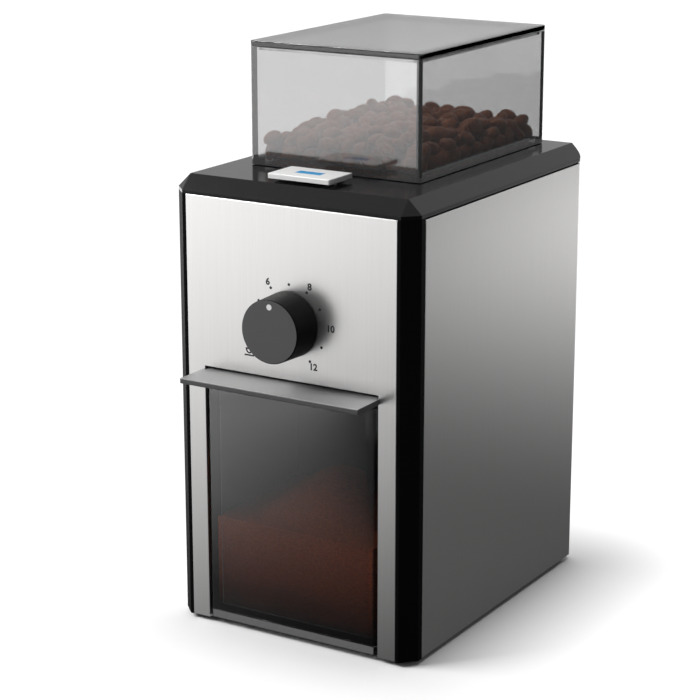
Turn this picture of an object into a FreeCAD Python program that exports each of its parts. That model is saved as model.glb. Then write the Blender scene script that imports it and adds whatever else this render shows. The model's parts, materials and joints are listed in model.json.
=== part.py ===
import FreeCAD, Part
import math
import os

V = FreeCAD.Vector

# Burr coffee grinder, millimetres. +Z is up, the front faces -Y, and the origin is on the
# table under the middle of the overall depth, lip and cable inlet included.

# Body
bevel_inset = 6.4
bevel_drop = 6.2
frame_skirt = 1.5
corner_chamfer = 6.3
rear_corner_radius = 5.0
shell_wall = 2.5
sheet = 0.8
sheet_bed = 0.1
panel_gap = 0.2
shadow_gap = 0.9
front_strip = 1.5
side_strip = 3.3
panel_return = 4.5
rear_cover_wall = 2.6
rear_ledge = 5.0
rear_ledge_wall = 2.5

# Base and feet
foot_height = 2.0
foot_radius = 6.0
foot_stem_radius = 2.5
foot_inset = 12.5
base_wall = 3.0
runner_height = 1.0
runner_width = 3.0
runner_spread = 60.0

# Container bay and drive deck
bay_width = 88.4
bay_depth = 78.0
bay_top = 121.0
bay_side_room = 16.8
frame_wall = 2.5
ledge_depth = 2.2

# Clearances
fit_gap = 0.3
slide_gap = 0.5
press_gap = 0.02
running_gap = 0.05

# Ground coffee container and its lid
container_wall = 3.0
container_apron_drop = 3.6
container_corner = 4.0
container_lid_wall = 2.5
container_lid_gap = 1.3
lip_reach = 18.0
lip_overhang = 0.8
lid_rim_depth = 4.0
lid_rim_wall = 1.6
lid_rim_gap = 0.5

# Bean hopper and its lid
hopper_setback = 36.4
hopper_rear_margin = 7.0
hopper_side_margin = 17.9
hopper_wall = 3.0
hopper_rise = 52.0
hopper_corner = 1.5
hopper_lid_wall = 2.5
hopper_rim_depth = 1.6
hopper_seat = 0.35
spigot_inset = 2.8
spigot_drop = 7.0
funnel_drop = 11.0
outlet_neck = 11.75
outlet_width = 20.0
outlet_wall = 2.2
seal_width = 2.0
seal_depth = 1.2
seal_inset = 0.6

# Start button
button_width = 31.0
button_depth = 19.0
button_cap_wall = 2.2
button_lift = 1.5
button_travel = 1.2
button_setback = 7.8
button_corner = 0.6
pad_lift = 0.2
pad_inset = 2.5
window_width = 12.8
window_depth = 5.0
peg_radius = 2.0
peg_spread = 22.0
peg_flange_radius = 3.6
peg_flange_wall = 1.2
board_wall = 1.6
board_drop = 16.0
switch_height = 4.2
switch_width = 5.0
switch_case_height = 2.9
switch_plunger_radius = 1.6
spring_wire = 0.5
spring_turns = 6

# Quantity knob
knob_diameter = 29.0
knob_reach = 15.5
knob_rise = 25.0
knob_gap = 0.6
knob_wall = 2.2
knob_edge = 0.5
knob_draft = 0.5
knob_hub_radius = 5.0
dot_radius = 1.3
dot_depth = 0.6
dot_offset = 10.8
pot_radius = 8.5
pot_depth = 10.0
pot_bush_radius = 3.5
pot_shaft_radius = 3.0
pot_nut_flats = 10.0
pot_nut_wall = 2.0
pot_tag_width = 10.2
pot_tag_reach = 12.8

# Burr drive
burr_axis_offset = 10.0
gear_module = 1.0
gear_teeth = 64
pinion_teeth = 12
gear_face = 8.0
gear_lift = 4.0
gear_backlash = 0.25
gear_pressure_angle = 20.0
gear_tip = 0.9
gear_root = 1.2
gear_hub_radius = 9.0
gear_web = 3.0
gear_rim = 3.5
gear_holes = 6
burr_shaft_radius = 4.0
burr_shaft_chamfer = 0.5
bush_radius = 7.0
bush_length = 9.0
post_radius = 4.0
post_spread_x = 68.0
post_spread_y = 40.0

# Burr chamber
chamber_radius = 28.0
chamber_wall = 3.0
chamber_floor_wall = 3.0
chamber_floor_lift = 15.5
chamber_depth = 22.0
burr_clearance = 3.0
burr_bore_radius = 9.5
burr_wall = 5.0
burr_teeth = 20
burr_tooth_depth = 1.6
burr_tooth_skew = 6.0
burr_throat_run = 7.0
burr_throat_drop = 3.0
burr_nut_radius = 7.5
burr_nut_height = 3.8
burr_gap = 0.6
carrier_wall = 3.5
carrier_lift = 5.5
vane_count = 3
vane_wall = 3.0
adjuster_travel = 0.4

# Fineness adjuster
ring_teeth = 76
wheel_teeth = 16
adjuster_face = 4.6
ring_roof = 2.6
upper_carrier_wall = 4.4
upper_neck_radius = 17.0
upper_neck_height = 8.0
feed_radius = 10.0
feed_mouth_radius = 14.5
key_width = 5.0
key_reach = 1.8
wheel_proud = 3.0
wheel_rim_height = 8.0
wheel_rim_wall = 4.5
wheel_dish_depth = 4.0
wheel_notches = 36
wheel_notch_depth = 0.7
wheel_pin_radius = 2.5
wheel_hub_radius = 6.0
bezel_proud = 0.7
bezel_border = 3.0
bezel_corner = 0.3
slot_margin = 1.2

# Chute
chute_width = 22.0
chute_wall = 1.8
chute_run = 22.0
outlet_height = 10.0

# Motor
motor_radius = 26.0
motor_length = 62.0
motor_wall = 1.6
motor_room = 2.9
motor_cap_wall = 4.0
motor_shaft_radius = 2.5
motor_bush_radius = 5.0
motor_bush_length = 6.0
bracket_wall = 2.5
bracket_width = 56.0
mount_radius = 5.0
mount_height = 5.0
mount_spread = 40.0
armature_radius = 17.0
armature_slots = 10
armature_slot_width = 2.8
armature_core_radius = 10.2
commutator_radius = 8.0
commutator_length = 9.0
magnet_gap = 0.6
magnet_sweep = 130.0
brush_width = 6.0
brush_length = 10.0
fan_radius = 20.0
fan_height = 7.0
fan_room = 3.0
rotor_gap = 2.0
fan_blades = 9
fan_blade_wall = 1.4

# Rear cover and cable inlet
vent_width = 32.0
vent_height = 3.0
vent_pitch = 6.5
vent_rows = 9
vent_base = 48.0
vent_spread = 40.0
gland_height = 24.0
gland_inset = 31.0
gland_radius = 6.0
gland_flange_radius = 8.5
gland_flange_wall = 2.0
gland_inner_radius = 7.5
gland_bore_radius = 3.6

# Screws
screw_radius = 1.5
screw_head_radius = 2.8
screw_head_height = 1.8
screw_length = 9.0
screw_slot = 0.8
boss_radius = 3.5
boss_height = 12.0

# Control board and interlock switches
control_length = 60.0
control_height = 44.0
control_standoff = 5.0
relay_length = 18.0
relay_height = 15.0
relay_depth = 10.0
capacitor_radius = 5.0
capacitor_length = 12.0
interlock_length = 20.0
interlock_depth = 6.4
interlock_height = 10.0
interlock_button = 1.5

# Places worked out from the sizes, from the front backwards and from the table upwards
pitch_radius = gear_module * gear_teeth / 2
pinion_pitch = gear_module * pinion_teeth / 2
body_width = bay_width + 2 * bay_side_room
motor_setback = bay_depth + burr_axis_offset + pitch_radius + pinion_pitch
body_depth = motor_setback + motor_radius + motor_room + rear_ledge_wall + rear_cover_wall
half_width = body_width / 2
overall_depth = lip_reach + body_depth + gland_flange_wall - panel_gap
front = lip_reach - overall_depth / 2
rear = front + body_depth
skin = sheet + sheet_bed
front_inner = front + skin + shell_wall
side_inner = half_width - skin - shell_wall
rear_outer = rear - rear_cover_wall
rear_inner = rear_outer - rear_ledge_wall
cover_screw_seat = rear - panel_gap - screw_head_height
panel_edge = half_width - corner_chamfer - front_strip
side_panel_start = front + corner_chamfer + side_strip
cover_half = half_width - rear_corner_radius - panel_return - panel_gap
gland_x = half_width - gland_inset
half_bay = bay_width / 2
bay_rear = front + bay_depth
burr_y = bay_rear + burr_axis_offset
motor_y = front + motor_setback
chute_front = burr_y - pitch_radius - 2 * gear_module - chute_run
base_top = foot_height + base_wall
deck_top = bay_top + frame_wall
gear_base = deck_top + gear_lift
gear_top = gear_base + gear_face
bush_base = gear_top + 1.5 * gear_module
bush_top = bush_base + bush_length
lower_bush_top = deck_top + gear_lift / 2
chamber_base = deck_top + chamber_floor_lift
chamber_floor = chamber_base + chamber_floor_wall
chamber_outer = chamber_radius + chamber_wall
burr_radius = chamber_radius - burr_clearance
chamber_top = chamber_floor + chamber_depth
carrier_base = chamber_floor + carrier_lift
lower_burr_base = carrier_base + carrier_wall
lower_burr_top = lower_burr_base + burr_wall
upper_burr_base = lower_burr_top + burr_gap
upper_burr_top = upper_burr_base + burr_wall
upper_carrier_top = upper_burr_top + upper_carrier_wall
feed_top = upper_carrier_top + upper_neck_height
ring_base = chamber_top + fit_gap
ring_face_top = ring_base + adjuster_face
ring_roof_low = upper_carrier_top + adjuster_travel + fit_gap
ring_top = max(ring_roof_low + ring_roof, ring_face_top)
ring_pitch = gear_module * ring_teeth / 2
wheel_pitch = gear_module * wheel_teeth / 2
wheel_x = -(ring_pitch + wheel_pitch)
wheel_seat = ring_base - wheel_pin_radius
wheel_rim_radius = half_width + wheel_proud + wheel_x
rim_base = ring_top + fit_gap
rim_top = rim_base + wheel_rim_height
slot_low = rim_base - slot_margin
slot_high = rim_top + slot_margin
slot_reach = math.sqrt(wheel_rim_radius ** 2 - (side_inner + wheel_x) ** 2) + slot_margin
outlet_base = feed_top + adjuster_travel + 4 * fit_gap
funnel_base = outlet_base + outlet_neck
spigot_base = funnel_base + funnel_drop
hopper_base = spigot_base + spigot_drop
hopper_top = hopper_base + hopper_rise
deck_height = hopper_base - hopper_seat
deck_roof = deck_height - shell_wall
frame_seat = deck_height - bevel_drop - frame_skirt
container_base = base_top + runner_height + fit_gap
container_top = bay_top - container_lid_gap - container_lid_wall
container_half = half_bay - slide_gap
container_rear = bay_rear - frame_wall - slide_gap
hopper_front = front + hopper_setback
hopper_rear = rear - hopper_rear_margin
hopper_y = (hopper_front + hopper_rear) / 2
hopper_half = half_width - hopper_side_margin
hopper_half_y = (hopper_rear - hopper_front) / 2
spigot_half_x = hopper_half - spigot_inset
spigot_half_y = hopper_half_y - spigot_inset
button_y = front + button_setback + button_depth / 2
button_base = deck_height + button_lift
button_top = button_base + button_cap_wall
board_top = deck_height - board_drop
board_post_y = button_y + button_depth / 2 - boss_radius / 2
switch_top = board_top + switch_height
peg_low = switch_top + button_travel + fit_gap
flange_top = deck_roof - fit_gap
flange_base = flange_top - peg_flange_wall
guide_low = peg_low + peg_flange_wall
knob_height = bay_top + knob_rise
knob_face = front - knob_reach
spindle_end = knob_face + knob_wall
motor_top = bay_top - mount_height - bracket_wall
motor_base = motor_top - motor_length
commutator_base = motor_base + motor_cap_wall
armature_base = commutator_base + commutator_length + rotor_gap
fan_base = motor_top - motor_bush_length / 2 - fan_room - fan_height
armature_length = fan_base - rotor_gap - armature_base
control_y = front_inner + pot_depth + control_length / 2
control_base = deck_top + frame_wall
control_face = side_inner - control_standoff - board_wall
interlock_x = half_bay / 2
interlock_z = (base_top + bay_top) / 2


# Basic solids

def block(x0, x1, y0, y1, z0, z1):
    return Part.makeBox(x1 - x0, y1 - y0, z1 - z0, V(x0, y0, z0))


def post(x, y, z0, z1, radius):
    return Part.makeCylinder(radius, z1 - z0, V(x, y, z0))


def tube(x, y, z0, z1, outer, inner):
    return post(x, y, z0, z1, outer).cut(post(x, y, z0, z1, inner))


def rod(x, y0, y1, z, radius):
    return Part.makeCylinder(radius, y1 - y0, V(x, y0, z), V(0, 1, 0))


def polygon(points):
    return Part.Face(Part.makePolygon(points + [points[0]]))


def prism(points, z0, z1):
    face = polygon([V(x, y, z0) for x, y in points])
    return face.extrude(V(0, 0, z1 - z0))


def side_prism(points, x0, x1):
    face = polygon([V(x0, y, z) for y, z in points])
    return face.extrude(V(x1 - x0, 0, 0))


def upright_edges(shape):
    found = []
    for edge in shape.Edges:
        run = edge.valueAt(edge.LastParameter) - edge.valueAt(edge.FirstParameter)
        if abs(run.x) < 1e-6 and abs(run.y) < 1e-6:
            found.append(edge)
    return found


def soft_block(x0, x1, y0, y1, z0, z1, radius):
    solid = block(x0, x1, y0, y1, z0, z1)
    return solid.makeFillet(radius, upright_edges(solid))


def trim(shape, point, normal):
    # Takes away what lies on the normal's side of a plane
    reach = 2 * (body_width + body_depth)
    slab = Part.makeBox(reach, reach, reach, V(-reach / 2, -reach / 2, 0))
    turn = FreeCAD.Rotation(V(0, 0, 1), normal)
    slab.Placement = FreeCAD.Placement(point, turn)
    return shape.cut(slab)


def body_outline(inset, z):
    # Plan of the body: cut front corners, rounded rear corners
    side = half_width - inset
    near = front + inset
    far = rear - inset
    pull = inset * (math.sqrt(2) - 1)
    cut_x = half_width - corner_chamfer - pull
    cut_y = front + corner_chamfer + pull
    radius = rear_corner_radius - inset
    bow = radius * (1 - math.sqrt(0.5))
    run = [V(-cut_x, near, z), V(cut_x, near, z), V(side, cut_y, z), V(side, far - radius, z)]
    back = [V(side - radius, far, z), V(-side + radius, far, z)]
    home = [V(-side, far - radius, z), V(-side, cut_y, z), V(-cut_x, near, z)]
    edges = Part.makePolygon(run).Edges
    edges.append(Part.Arc(run[-1], V(side - bow, far - bow, z), back[0]).toShape())
    edges.append(Part.makeLine(back[0], back[1]))
    edges.append(Part.Arc(back[1], V(-side + bow, far - bow, z), home[0]).toShape())
    edges += Part.makePolygon(home).Edges
    return Part.Face(Part.Wire(edges))


def body_slab(inset, z0, z1):
    return body_outline(inset, z0).extrude(V(0, 0, z1 - z0))


def inside(z0, z1, gap):
    # The room within the moulded shell
    room = body_slab(skin + shell_wall + gap, z0, z1)
    return room.common(block(-body_width, body_width, front, rear_inner - gap, z0, z1))


def involute(radius, base_radius):
    angle = math.acos(min(1.0, base_radius / radius))
    return math.tan(angle) - angle


def gear_blank(teeth, z0, z1, x, y, phase):
    # Spur gear with involute flanks, each drawn through its foot, pitch and tip points
    pitch = gear_module * teeth / 2
    base_radius = pitch * math.cos(math.radians(gear_pressure_angle))
    tip = pitch + gear_tip * gear_module
    root = pitch - gear_root * gear_module
    foot = max(root, base_radius)
    half = (math.pi * gear_module / 2 - gear_backlash) / (2 * pitch)
    half += involute(pitch, base_radius)
    points = []
    for tooth in range(teeth):
        middle = phase + 2 * math.pi * tooth / teeth
        flank = [(r, half - involute(max(r, base_radius), base_radius)) for r in (foot, pitch, tip)]
        if foot > root:
            flank.insert(0, (root, flank[0][1]))
        turn = [(r, middle - a) for r, a in flank] + [(r, middle + a) for r, a in reversed(flank)]
        points += [(x + r * math.cos(a), y + r * math.sin(a)) for r, a in turn]
    return prism(points, z0, z1)


def screw(place, direction):
    # Pan-head screw: head on the outside of its seat, shank running in along direction
    head = Part.makeCylinder(screw_head_radius, screw_head_height, place, direction * -1)
    shank = Part.makeCylinder(screw_radius, screw_length, place, direction)
    reach = screw_head_radius + screw_slot
    slot = block(-reach, reach, -screw_slot / 2, screw_slot / 2, -screw_slot, 0)
    slot.Placement = FreeCAD.Placement(
        place - direction * screw_head_height, FreeCAD.Rotation(V(0, 0, -1), direction))
    return head.fuse(shank).cut(slot)


def write(name, shape):
    shape.exportStep(os.path.join("parts", name + ".step"))


# Places of the fasteners

def corner_places(x, y0, y1):
    return [(-x, y0), (x, y0), (-x, y1), (x, y1)]


def foot_places():
    x = side_inner - foot_inset + foot_radius / 2
    return corner_places(x, front_inner + foot_inset, rear_inner - foot_inset + foot_radius / 2)


def base_boss_places():
    return corner_places(side_inner - boss_radius, front + bay_depth / 3, rear_inner - 2 * foot_inset)


def cover_boss_places():
    x = cover_half - boss_radius
    return [(sx * x, z) for z in (base_top + boss_height, frame_seat - boss_height) for sx in (-1, 1)]


def burr_post_places():
    near = burr_y - post_spread_y / 2
    return corner_places(post_spread_x / 2, near, near + post_spread_y)


def motor_mount_places():
    near = motor_y - mount_spread / 2
    return corner_places(mount_spread / 2, near, near + mount_spread)


def board_post_places():
    return [(side * (button_width / 2 - screw_head_radius), board_post_y) for side in (-1, 1)]


# Casing

def main_housing():
    # Moulded shell under the steel skins, with the black columns at the front corners
    shell = body_slab(skin, foot_height, frame_seat)
    column = body_slab(0, foot_height, frame_seat)
    reach = body_width
    keep = block(panel_edge, reach, front - 1, side_panel_start, 0, deck_height)
    keep = keep.fuse(block(-reach, -panel_edge, front - 1, side_panel_start, 0, deck_height))
    shell = shell.fuse(column.common(keep))
    shell = shell.cut(inside(foot_height, frame_seat, 0))
    edge = sheet + panel_gap
    bay = half_bay + edge
    shell = shell.cut(block(-bay, bay, front - 1, front_inner, 0, bay_top + edge))
    shell = shell.cut(block(-cover_half, cover_half, rear_outer, rear + 1, 0, deck_height))
    window = cover_half - rear_ledge
    low = base_top + rear_ledge
    shell = shell.cut(block(-window, window, rear_inner, rear_outer, low, frame_seat - rear_ledge))
    for x, y in base_boss_places():
        wall_x = math.copysign(side_inner, x)
        top = base_top + boss_height
        boss = post(x, y, base_top, top, boss_radius)
        half = boss_radius / 2
        web = block(min(x, wall_x), max(x, wall_x), y - half, y + half, base_top, top)
        shell = shell.fuse(boss.fuse(web))
        shell = shell.cut(post(x, y, 0, base_top + screw_length, screw_radius))
    for x, z in cover_boss_places():
        tip = cover_screw_seat - screw_length
        shell = shell.fuse(rod(x, tip - shell_wall / 2, rear_outer, z, boss_radius))
        shell = shell.cut(rod(x, tip, rear + 1, z, screw_radius))
    for side in (-1, 1):
        x0, x1 = sorted((side * side_inner, side * (side_inner - ledge_depth)))
        shell = shell.fuse(block(x0, x1, bay_rear, rear_inner, bay_top - frame_wall, bay_top))
    shell = shell.fuse(standoffs())
    shell = shell.cut(rod(0, front - 1, front_inner, knob_height, pot_bush_radius + fit_gap))
    slot = block(-reach, -side_inner, burr_y - slot_reach, burr_y + slot_reach, slot_low, slot_high)
    return shell.cut(slot).removeSplitter()


def front_panel():
    # Brushed steel face round the container opening, its opening edges turned inwards
    top = frame_seat - panel_gap
    low = foot_height + panel_gap
    face = block(-panel_edge + panel_gap, panel_edge - panel_gap, front, front + sheet, low, top)
    edge = half_bay + sheet
    face = face.fuse(block(-edge, edge, front, front_inner, low, bay_top + sheet))
    face = face.cut(block(-half_bay, half_bay, front - 1, rear, 0, bay_top))
    bush_hole = rod(0, front - 1, front_inner, knob_height, pot_bush_radius + fit_gap)
    return face.cut(bush_hole).removeSplitter()


def side_panel(side):
    # Steel side sheet that turns round the rear corner on to the back, below a dark joint line
    top = frame_seat - shadow_gap
    low = foot_height + panel_gap
    outer = body_slab(0, low, top).cut(body_slab(sheet, low, top))
    bend = rear - rear_corner_radius
    keep = block(0, body_width, side_panel_start + panel_gap, bend, low, top)
    keep = keep.fuse(block(cover_half + panel_gap, body_width, bend, rear + 1, low, top))
    sheet_part = outer.common(keep)
    if side < 0:
        sheet_part = sheet_part.mirror(V(0, 0, 0), V(1, 0, 0))
    return sheet_part.removeSplitter()


def left_panel():
    slot = block(-body_width, 0, burr_y - slot_reach, burr_y + slot_reach, slot_low, slot_high)
    return side_panel(-1).cut(slot)


def right_panel():
    return side_panel(1)


def top_frame():
    # Black frame with a bevel round the front and sides and a cut facet at each front corner
    frame = body_slab(0, frame_seat, deck_height)
    drop = deck_height - bevel_drop
    frame = trim(frame, V(0, front, drop), V(0, -bevel_drop, bevel_inset))
    for side in (-1, 1):
        frame = trim(frame, V(side * half_width, 0, drop), V(side * bevel_drop, 0, bevel_inset))
        apex = V(side * (half_width - bevel_inset), front + bevel_inset, deck_height)
        across = V(side * corner_chamfer, corner_chamfer, 0)
        foot = V(side * (half_width - corner_chamfer), front, drop)
        normal = across.cross(apex - foot) * side
        frame = trim(frame, foot, normal)
    inner = side_inner - bevel_inset
    near = front_inner + bevel_inset
    frame = frame.cut(block(-inner, inner, near, rear_inner, frame_seat, deck_roof))
    hole_x = spigot_half_x + slide_gap
    hole_y = spigot_half_y + slide_gap
    frame = frame.cut(soft_block(-hole_x, hole_x, hopper_y - hole_y, hopper_y + hole_y,
                                 frame_seat, deck_height, hopper_corner))
    frame = frame.cut(seal_ring(deck_height - seal_depth, deck_height))
    pad_x = button_width / 2 - pad_inset
    pad_y = button_depth / 2 - pad_inset
    pad = soft_block(-pad_x, pad_x, button_y - pad_y, button_y + pad_y,
                     deck_roof, deck_height + pad_lift, button_corner)
    frame = frame.fuse(pad)
    guide = window_width / 2 + fit_gap
    frame = frame.cut(block(-guide, guide, button_y - window_depth / 2 - fit_gap,
                            button_y + window_depth / 2 + fit_gap, frame_seat, button_base))
    for side in (-1, 1):
        x = side * peg_spread / 2
        frame = frame.cut(post(x, button_y, frame_seat, button_base, peg_radius + fit_gap))
    for x, y in board_post_places():
        frame = frame.fuse(post(x, y, board_top, deck_roof, boss_radius / 2))
    return frame.removeSplitter()


def seal_ring(z0, z1):
    outer_x = hopper_half - seal_inset
    outer_y = hopper_half_y - seal_inset
    outer = soft_block(-outer_x, outer_x, hopper_y - outer_y, hopper_y + outer_y, z0, z1,
                       hopper_corner)
    x = outer_x - seal_width
    y = outer_y - seal_width
    return outer.cut(block(-x, x, hopper_y - y, hopper_y + y, z0, z1))


def hopper_seal():
    return seal_ring(deck_height - seal_depth, deck_height + hopper_seat / 2)


def rear_cover():
    # Back plate with cooling slots, the cable inlet and corner screws
    plate = block(-cover_half + panel_gap, cover_half - panel_gap, rear_outer, rear - panel_gap,
                  foot_height + panel_gap, frame_seat - panel_gap)
    for row in range(vent_rows):
        z = vent_base + row * vent_pitch
        for side in (-1, 1):
            x0 = (side * vent_spread - vent_width) / 2
            slot = block(x0, x0 + vent_width, rear_outer - 1, rear + 1, z, z + vent_height)
            plate = plate.cut(slot)
    for x, z in cover_boss_places():
        plate = plate.cut(rod(x, rear_outer, rear + 1, z, screw_radius + press_gap))
        plate = plate.cut(rod(x, cover_screw_seat, rear + 1, z, screw_head_radius + fit_gap))
    return plate.cut(rod(gland_x, rear_outer - 1, rear + 1, gland_height, gland_radius))


def cable_gland():
    # Rubber inlet that grips the back plate between two flanges
    face = rear - panel_gap
    tip = face + gland_flange_wall
    outer = rod(gland_x, rear_inner, rear, gland_height, gland_radius - press_gap)
    flange = rod(gland_x, face, tip, gland_height, gland_flange_radius)
    flange = flange.makeFillet(gland_flange_wall / 3, [flange.Edges[0], flange.Edges[2]])
    inner = rod(gland_x, rear_outer - gland_flange_wall, rear_outer, gland_height,
                gland_inner_radius)
    bore = rod(gland_x, rear_inner - 1, tip + 1, gland_height, gland_bore_radius)
    return outer.fuse(flange).fuse(inner).cut(bore).removeSplitter()


def rear_screws():
    return [screw(V(x, cover_screw_seat, z), V(0, -1, 0)) for x, z in cover_boss_places()]


def base_plate():
    # Floor of the machine, with two runners for the container
    plate = inside(foot_height, base_top, panel_gap)
    for side in (-1, 1):
        x0 = (side * runner_spread - runner_width) / 2
        y1 = bay_rear - frame_wall - slide_gap
        plate = plate.fuse(block(x0, x0 + runner_width, front_inner + panel_gap, y1,
                                 base_top, base_top + runner_height))
    for x, y in foot_places():
        plate = plate.cut(post(x, y, foot_height, base_top, foot_stem_radius))
    for x, y in base_boss_places():
        plate = plate.cut(post(x, y, foot_height, base_top, screw_radius + press_gap))
        plate = plate.cut(post(x, y, 0, foot_height + screw_head_height, screw_head_radius + fit_gap))
    return plate.removeSplitter()


def rubber_feet():
    feet = []
    for x, y in foot_places():
        pad = post(x, y, 0, foot_height, foot_radius)
        pad = pad.makeChamfer(foot_height / 4, [pad.Edges[2]])
        stem = post(x, y, foot_height, base_top, foot_stem_radius - press_gap)
        feet.append(pad.fuse(stem))
    return feet


def base_screws():
    seat = foot_height + screw_head_height
    return [screw(V(x, y, seat), V(0, 0, 1)) for x, y in base_boss_places()]


# Inner frame: container bay and drive deck

def inner_frame():
    wall = frame_wall
    y0 = front_inner
    bay = block(-half_bay - wall, half_bay + wall, y0, bay_rear, base_top, bay_top)
    runner_room = block(-half_bay, half_bay, y0, bay_rear - wall, base_top, bay_top)
    frame = bay.cut(runner_room)
    frame = frame.fuse(inside(bay_top, deck_top, panel_gap))
    for x, y in burr_post_places():
        frame = frame.fuse(post(x, y, deck_top, chamber_base, post_radius))
        frame = frame.cut(post(x, y, chamber_floor - screw_length, chamber_base, screw_radius))
    half = chute_width / 2 + panel_gap
    near = chute_front - panel_gap
    far = chute_front + chute_run + panel_gap
    frame = frame.cut(block(-half, half, near, far, bay_top, deck_top))
    frame = frame.cut(post(0, burr_y, bay_top, deck_top, bush_radius + press_gap))
    frame = frame.cut(post(0, motor_y, bay_top, deck_top, motor_bush_radius + pinion_pitch / 2))
    for x, y in motor_mount_places():
        frame = frame.cut(post(x, y, bay_top, deck_top, screw_radius + press_gap))
    hole = rod(interlock_x, bay_rear - wall, bay_rear, interlock_z, interlock_button + fit_gap)
    frame = frame.cut(hole)
    return frame.removeSplitter()


def chute():
    # Spout that leads the grounds from the chamber's mouth down to the container
    near = chute_front
    far = near + chute_run
    mouth_y = burr_y - chamber_outer
    mouth_low = chamber_floor - chute_wall
    mouth_high = chamber_floor + outlet_height + chute_wall
    wall = chute_wall
    slope = (far - near - wall) / 2
    shell = [(near, bay_top), (far, bay_top), (far, mouth_low), (mouth_y, mouth_low),
             (mouth_y, mouth_high), (near + slope, mouth_high), (near, mouth_high - slope)]
    hollow = [(near + wall, bay_top - 1), (far - wall, bay_top - 1), (far - wall, chamber_floor),
              (mouth_y + 1, chamber_floor), (mouth_y + 1, mouth_high - wall),
              (near + slope + wall / 2, mouth_high - wall),
              (near + wall, mouth_high - slope - wall / 2)]
    half = chute_width / 2
    spout = side_prism(shell, -half, half)
    spout = spout.cut(side_prism(hollow, -half + wall, half - wall))
    return spout.cut(post(0, burr_y, chamber_base, mouth_high, chamber_outer))


# Burr chamber

def ear(x, y, z0, z1, radius):
    # Lug that reaches from the chamber wall to a fixing point
    away = math.hypot(x, y - burr_y)
    arm = block(chamber_radius + chamber_wall / 2, away, -radius, radius, z0, z1)
    arm.rotate(V(0, 0, 0), V(0, 0, 1), math.degrees(math.atan2(y - burr_y, x)))
    arm.translate(V(0, burr_y, 0))
    return arm.fuse(post(x, y, z0, z1, radius))


def burr_housing():
    bowl = post(0, burr_y, chamber_base, chamber_top, chamber_outer)
    bowl = bowl.cut(post(0, burr_y, chamber_floor, chamber_top, chamber_radius))
    boss = post(0, burr_y, bush_base, bush_top, bush_radius + chamber_wall)
    bowl = bowl.fuse(boss).cut(post(0, burr_y, bush_base, chamber_top, bush_radius + press_gap))
    for x, y in burr_post_places():
        bowl = bowl.fuse(ear(x, y, chamber_base, chamber_floor, post_radius))
        bowl = bowl.cut(post(x, y, chamber_base, chamber_floor, screw_radius + press_gap))
    half = chute_width / 2 - chute_wall
    mouth = block(-half, half, burr_y - 2 * chamber_outer, burr_y - chamber_radius / 2,
                  chamber_floor, chamber_floor + outlet_height)
    bowl = bowl.cut(mouth)
    top = wheel_seat
    arm = ear(wheel_x, burr_y, top - frame_wall - wheel_pin_radius, top, wheel_hub_radius)
    bowl = bowl.fuse(arm.cut(post(0, burr_y, chamber_base, chamber_top, chamber_radius)))
    bowl = bowl.cut(post(wheel_x, burr_y, chamber_base, chamber_top, wheel_pin_radius + press_gap))
    gap = key_width / 2 + fit_gap
    reach = chamber_radius + key_reach + fit_gap
    slot = block(-gap, gap, burr_y - reach, burr_y + reach, upper_burr_base, chamber_top)
    return bowl.cut(slot).removeSplitter()


def burr_bushes():
    # Plain bearings of the burr shaft, in the chamber's floor and in the deck
    inner = burr_shaft_radius + running_gap
    low = lower_bush_top - bush_length
    return [tube(0, burr_y, bush_base, bush_top, bush_radius, inner),
            tube(0, burr_y, low, lower_bush_top, bush_radius, inner)]


def housing_screws():
    return [screw(V(x, y, chamber_floor), V(0, 0, -1)) for x, y in burr_post_places()]


def burr_shaft():
    low = lower_bush_top - bush_length
    shaft = post(0, burr_y, low, lower_burr_top - burr_shaft_chamfer, burr_shaft_radius)
    return shaft.makeChamfer(burr_shaft_chamfer, [shaft.Edges[0], shaft.Edges[2]])


def drive_gear():
    # Moulded spur gear: toothed rim, thin web with lightening holes, and hub
    gear = gear_blank(gear_teeth, gear_base, gear_top, 0, burr_y, math.pi / 2)
    rim = pitch_radius - gear_root * gear_module - gear_rim
    middle = (gear_base + gear_top) / 2
    pocket = tube(0, burr_y, gear_base, middle - gear_web / 2, rim, gear_hub_radius)
    gear = gear.cut(pocket).cut(tube(0, burr_y, middle + gear_web / 2, gear_top, rim, gear_hub_radius))
    hole_radius = (rim - gear_hub_radius) / 4
    hole_ring = (rim + gear_hub_radius) / 2
    for step in range(gear_holes):
        angle = 2 * math.pi * step / gear_holes
        gear = gear.cut(post(hole_ring * math.cos(angle), burr_y + hole_ring * math.sin(angle),
                             gear_base, gear_top, hole_radius))
    low = lower_bush_top + fit_gap
    hub = post(0, burr_y, low, gear_top + gear_module, gear_hub_radius)
    bore = post(0, burr_y, low, chamber_base, burr_shaft_radius + press_gap)
    return gear.fuse(hub).cut(bore).removeSplitter()


def burr_carrier():
    # Disc under the lower burr, with vanes that sweep the grounds to the chamber's mouth
    disc = post(0, burr_y, carrier_base, lower_burr_base, burr_radius)
    hub = post(0, burr_y, bush_top + fit_gap, lower_burr_base, bush_radius + chamber_wall)
    disc = disc.fuse(hub)
    low = chamber_floor + fit_gap * 3
    for step in range(vane_count):
        vane = block(bush_radius + chamber_wall + 2, chamber_radius - 3 * fit_gap, -vane_wall / 2,
                     vane_wall / 2, low, lower_burr_base)
        vane.rotate(V(0, 0, 0), V(0, 0, 1), 90 + 360 * step / vane_count)
        vane.translate(V(0, burr_y, 0))
        disc = disc.fuse(vane)
    bore = post(0, burr_y, chamber_floor, lower_burr_base, burr_shaft_radius + press_gap)
    return disc.cut(bore).removeSplitter()


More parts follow.
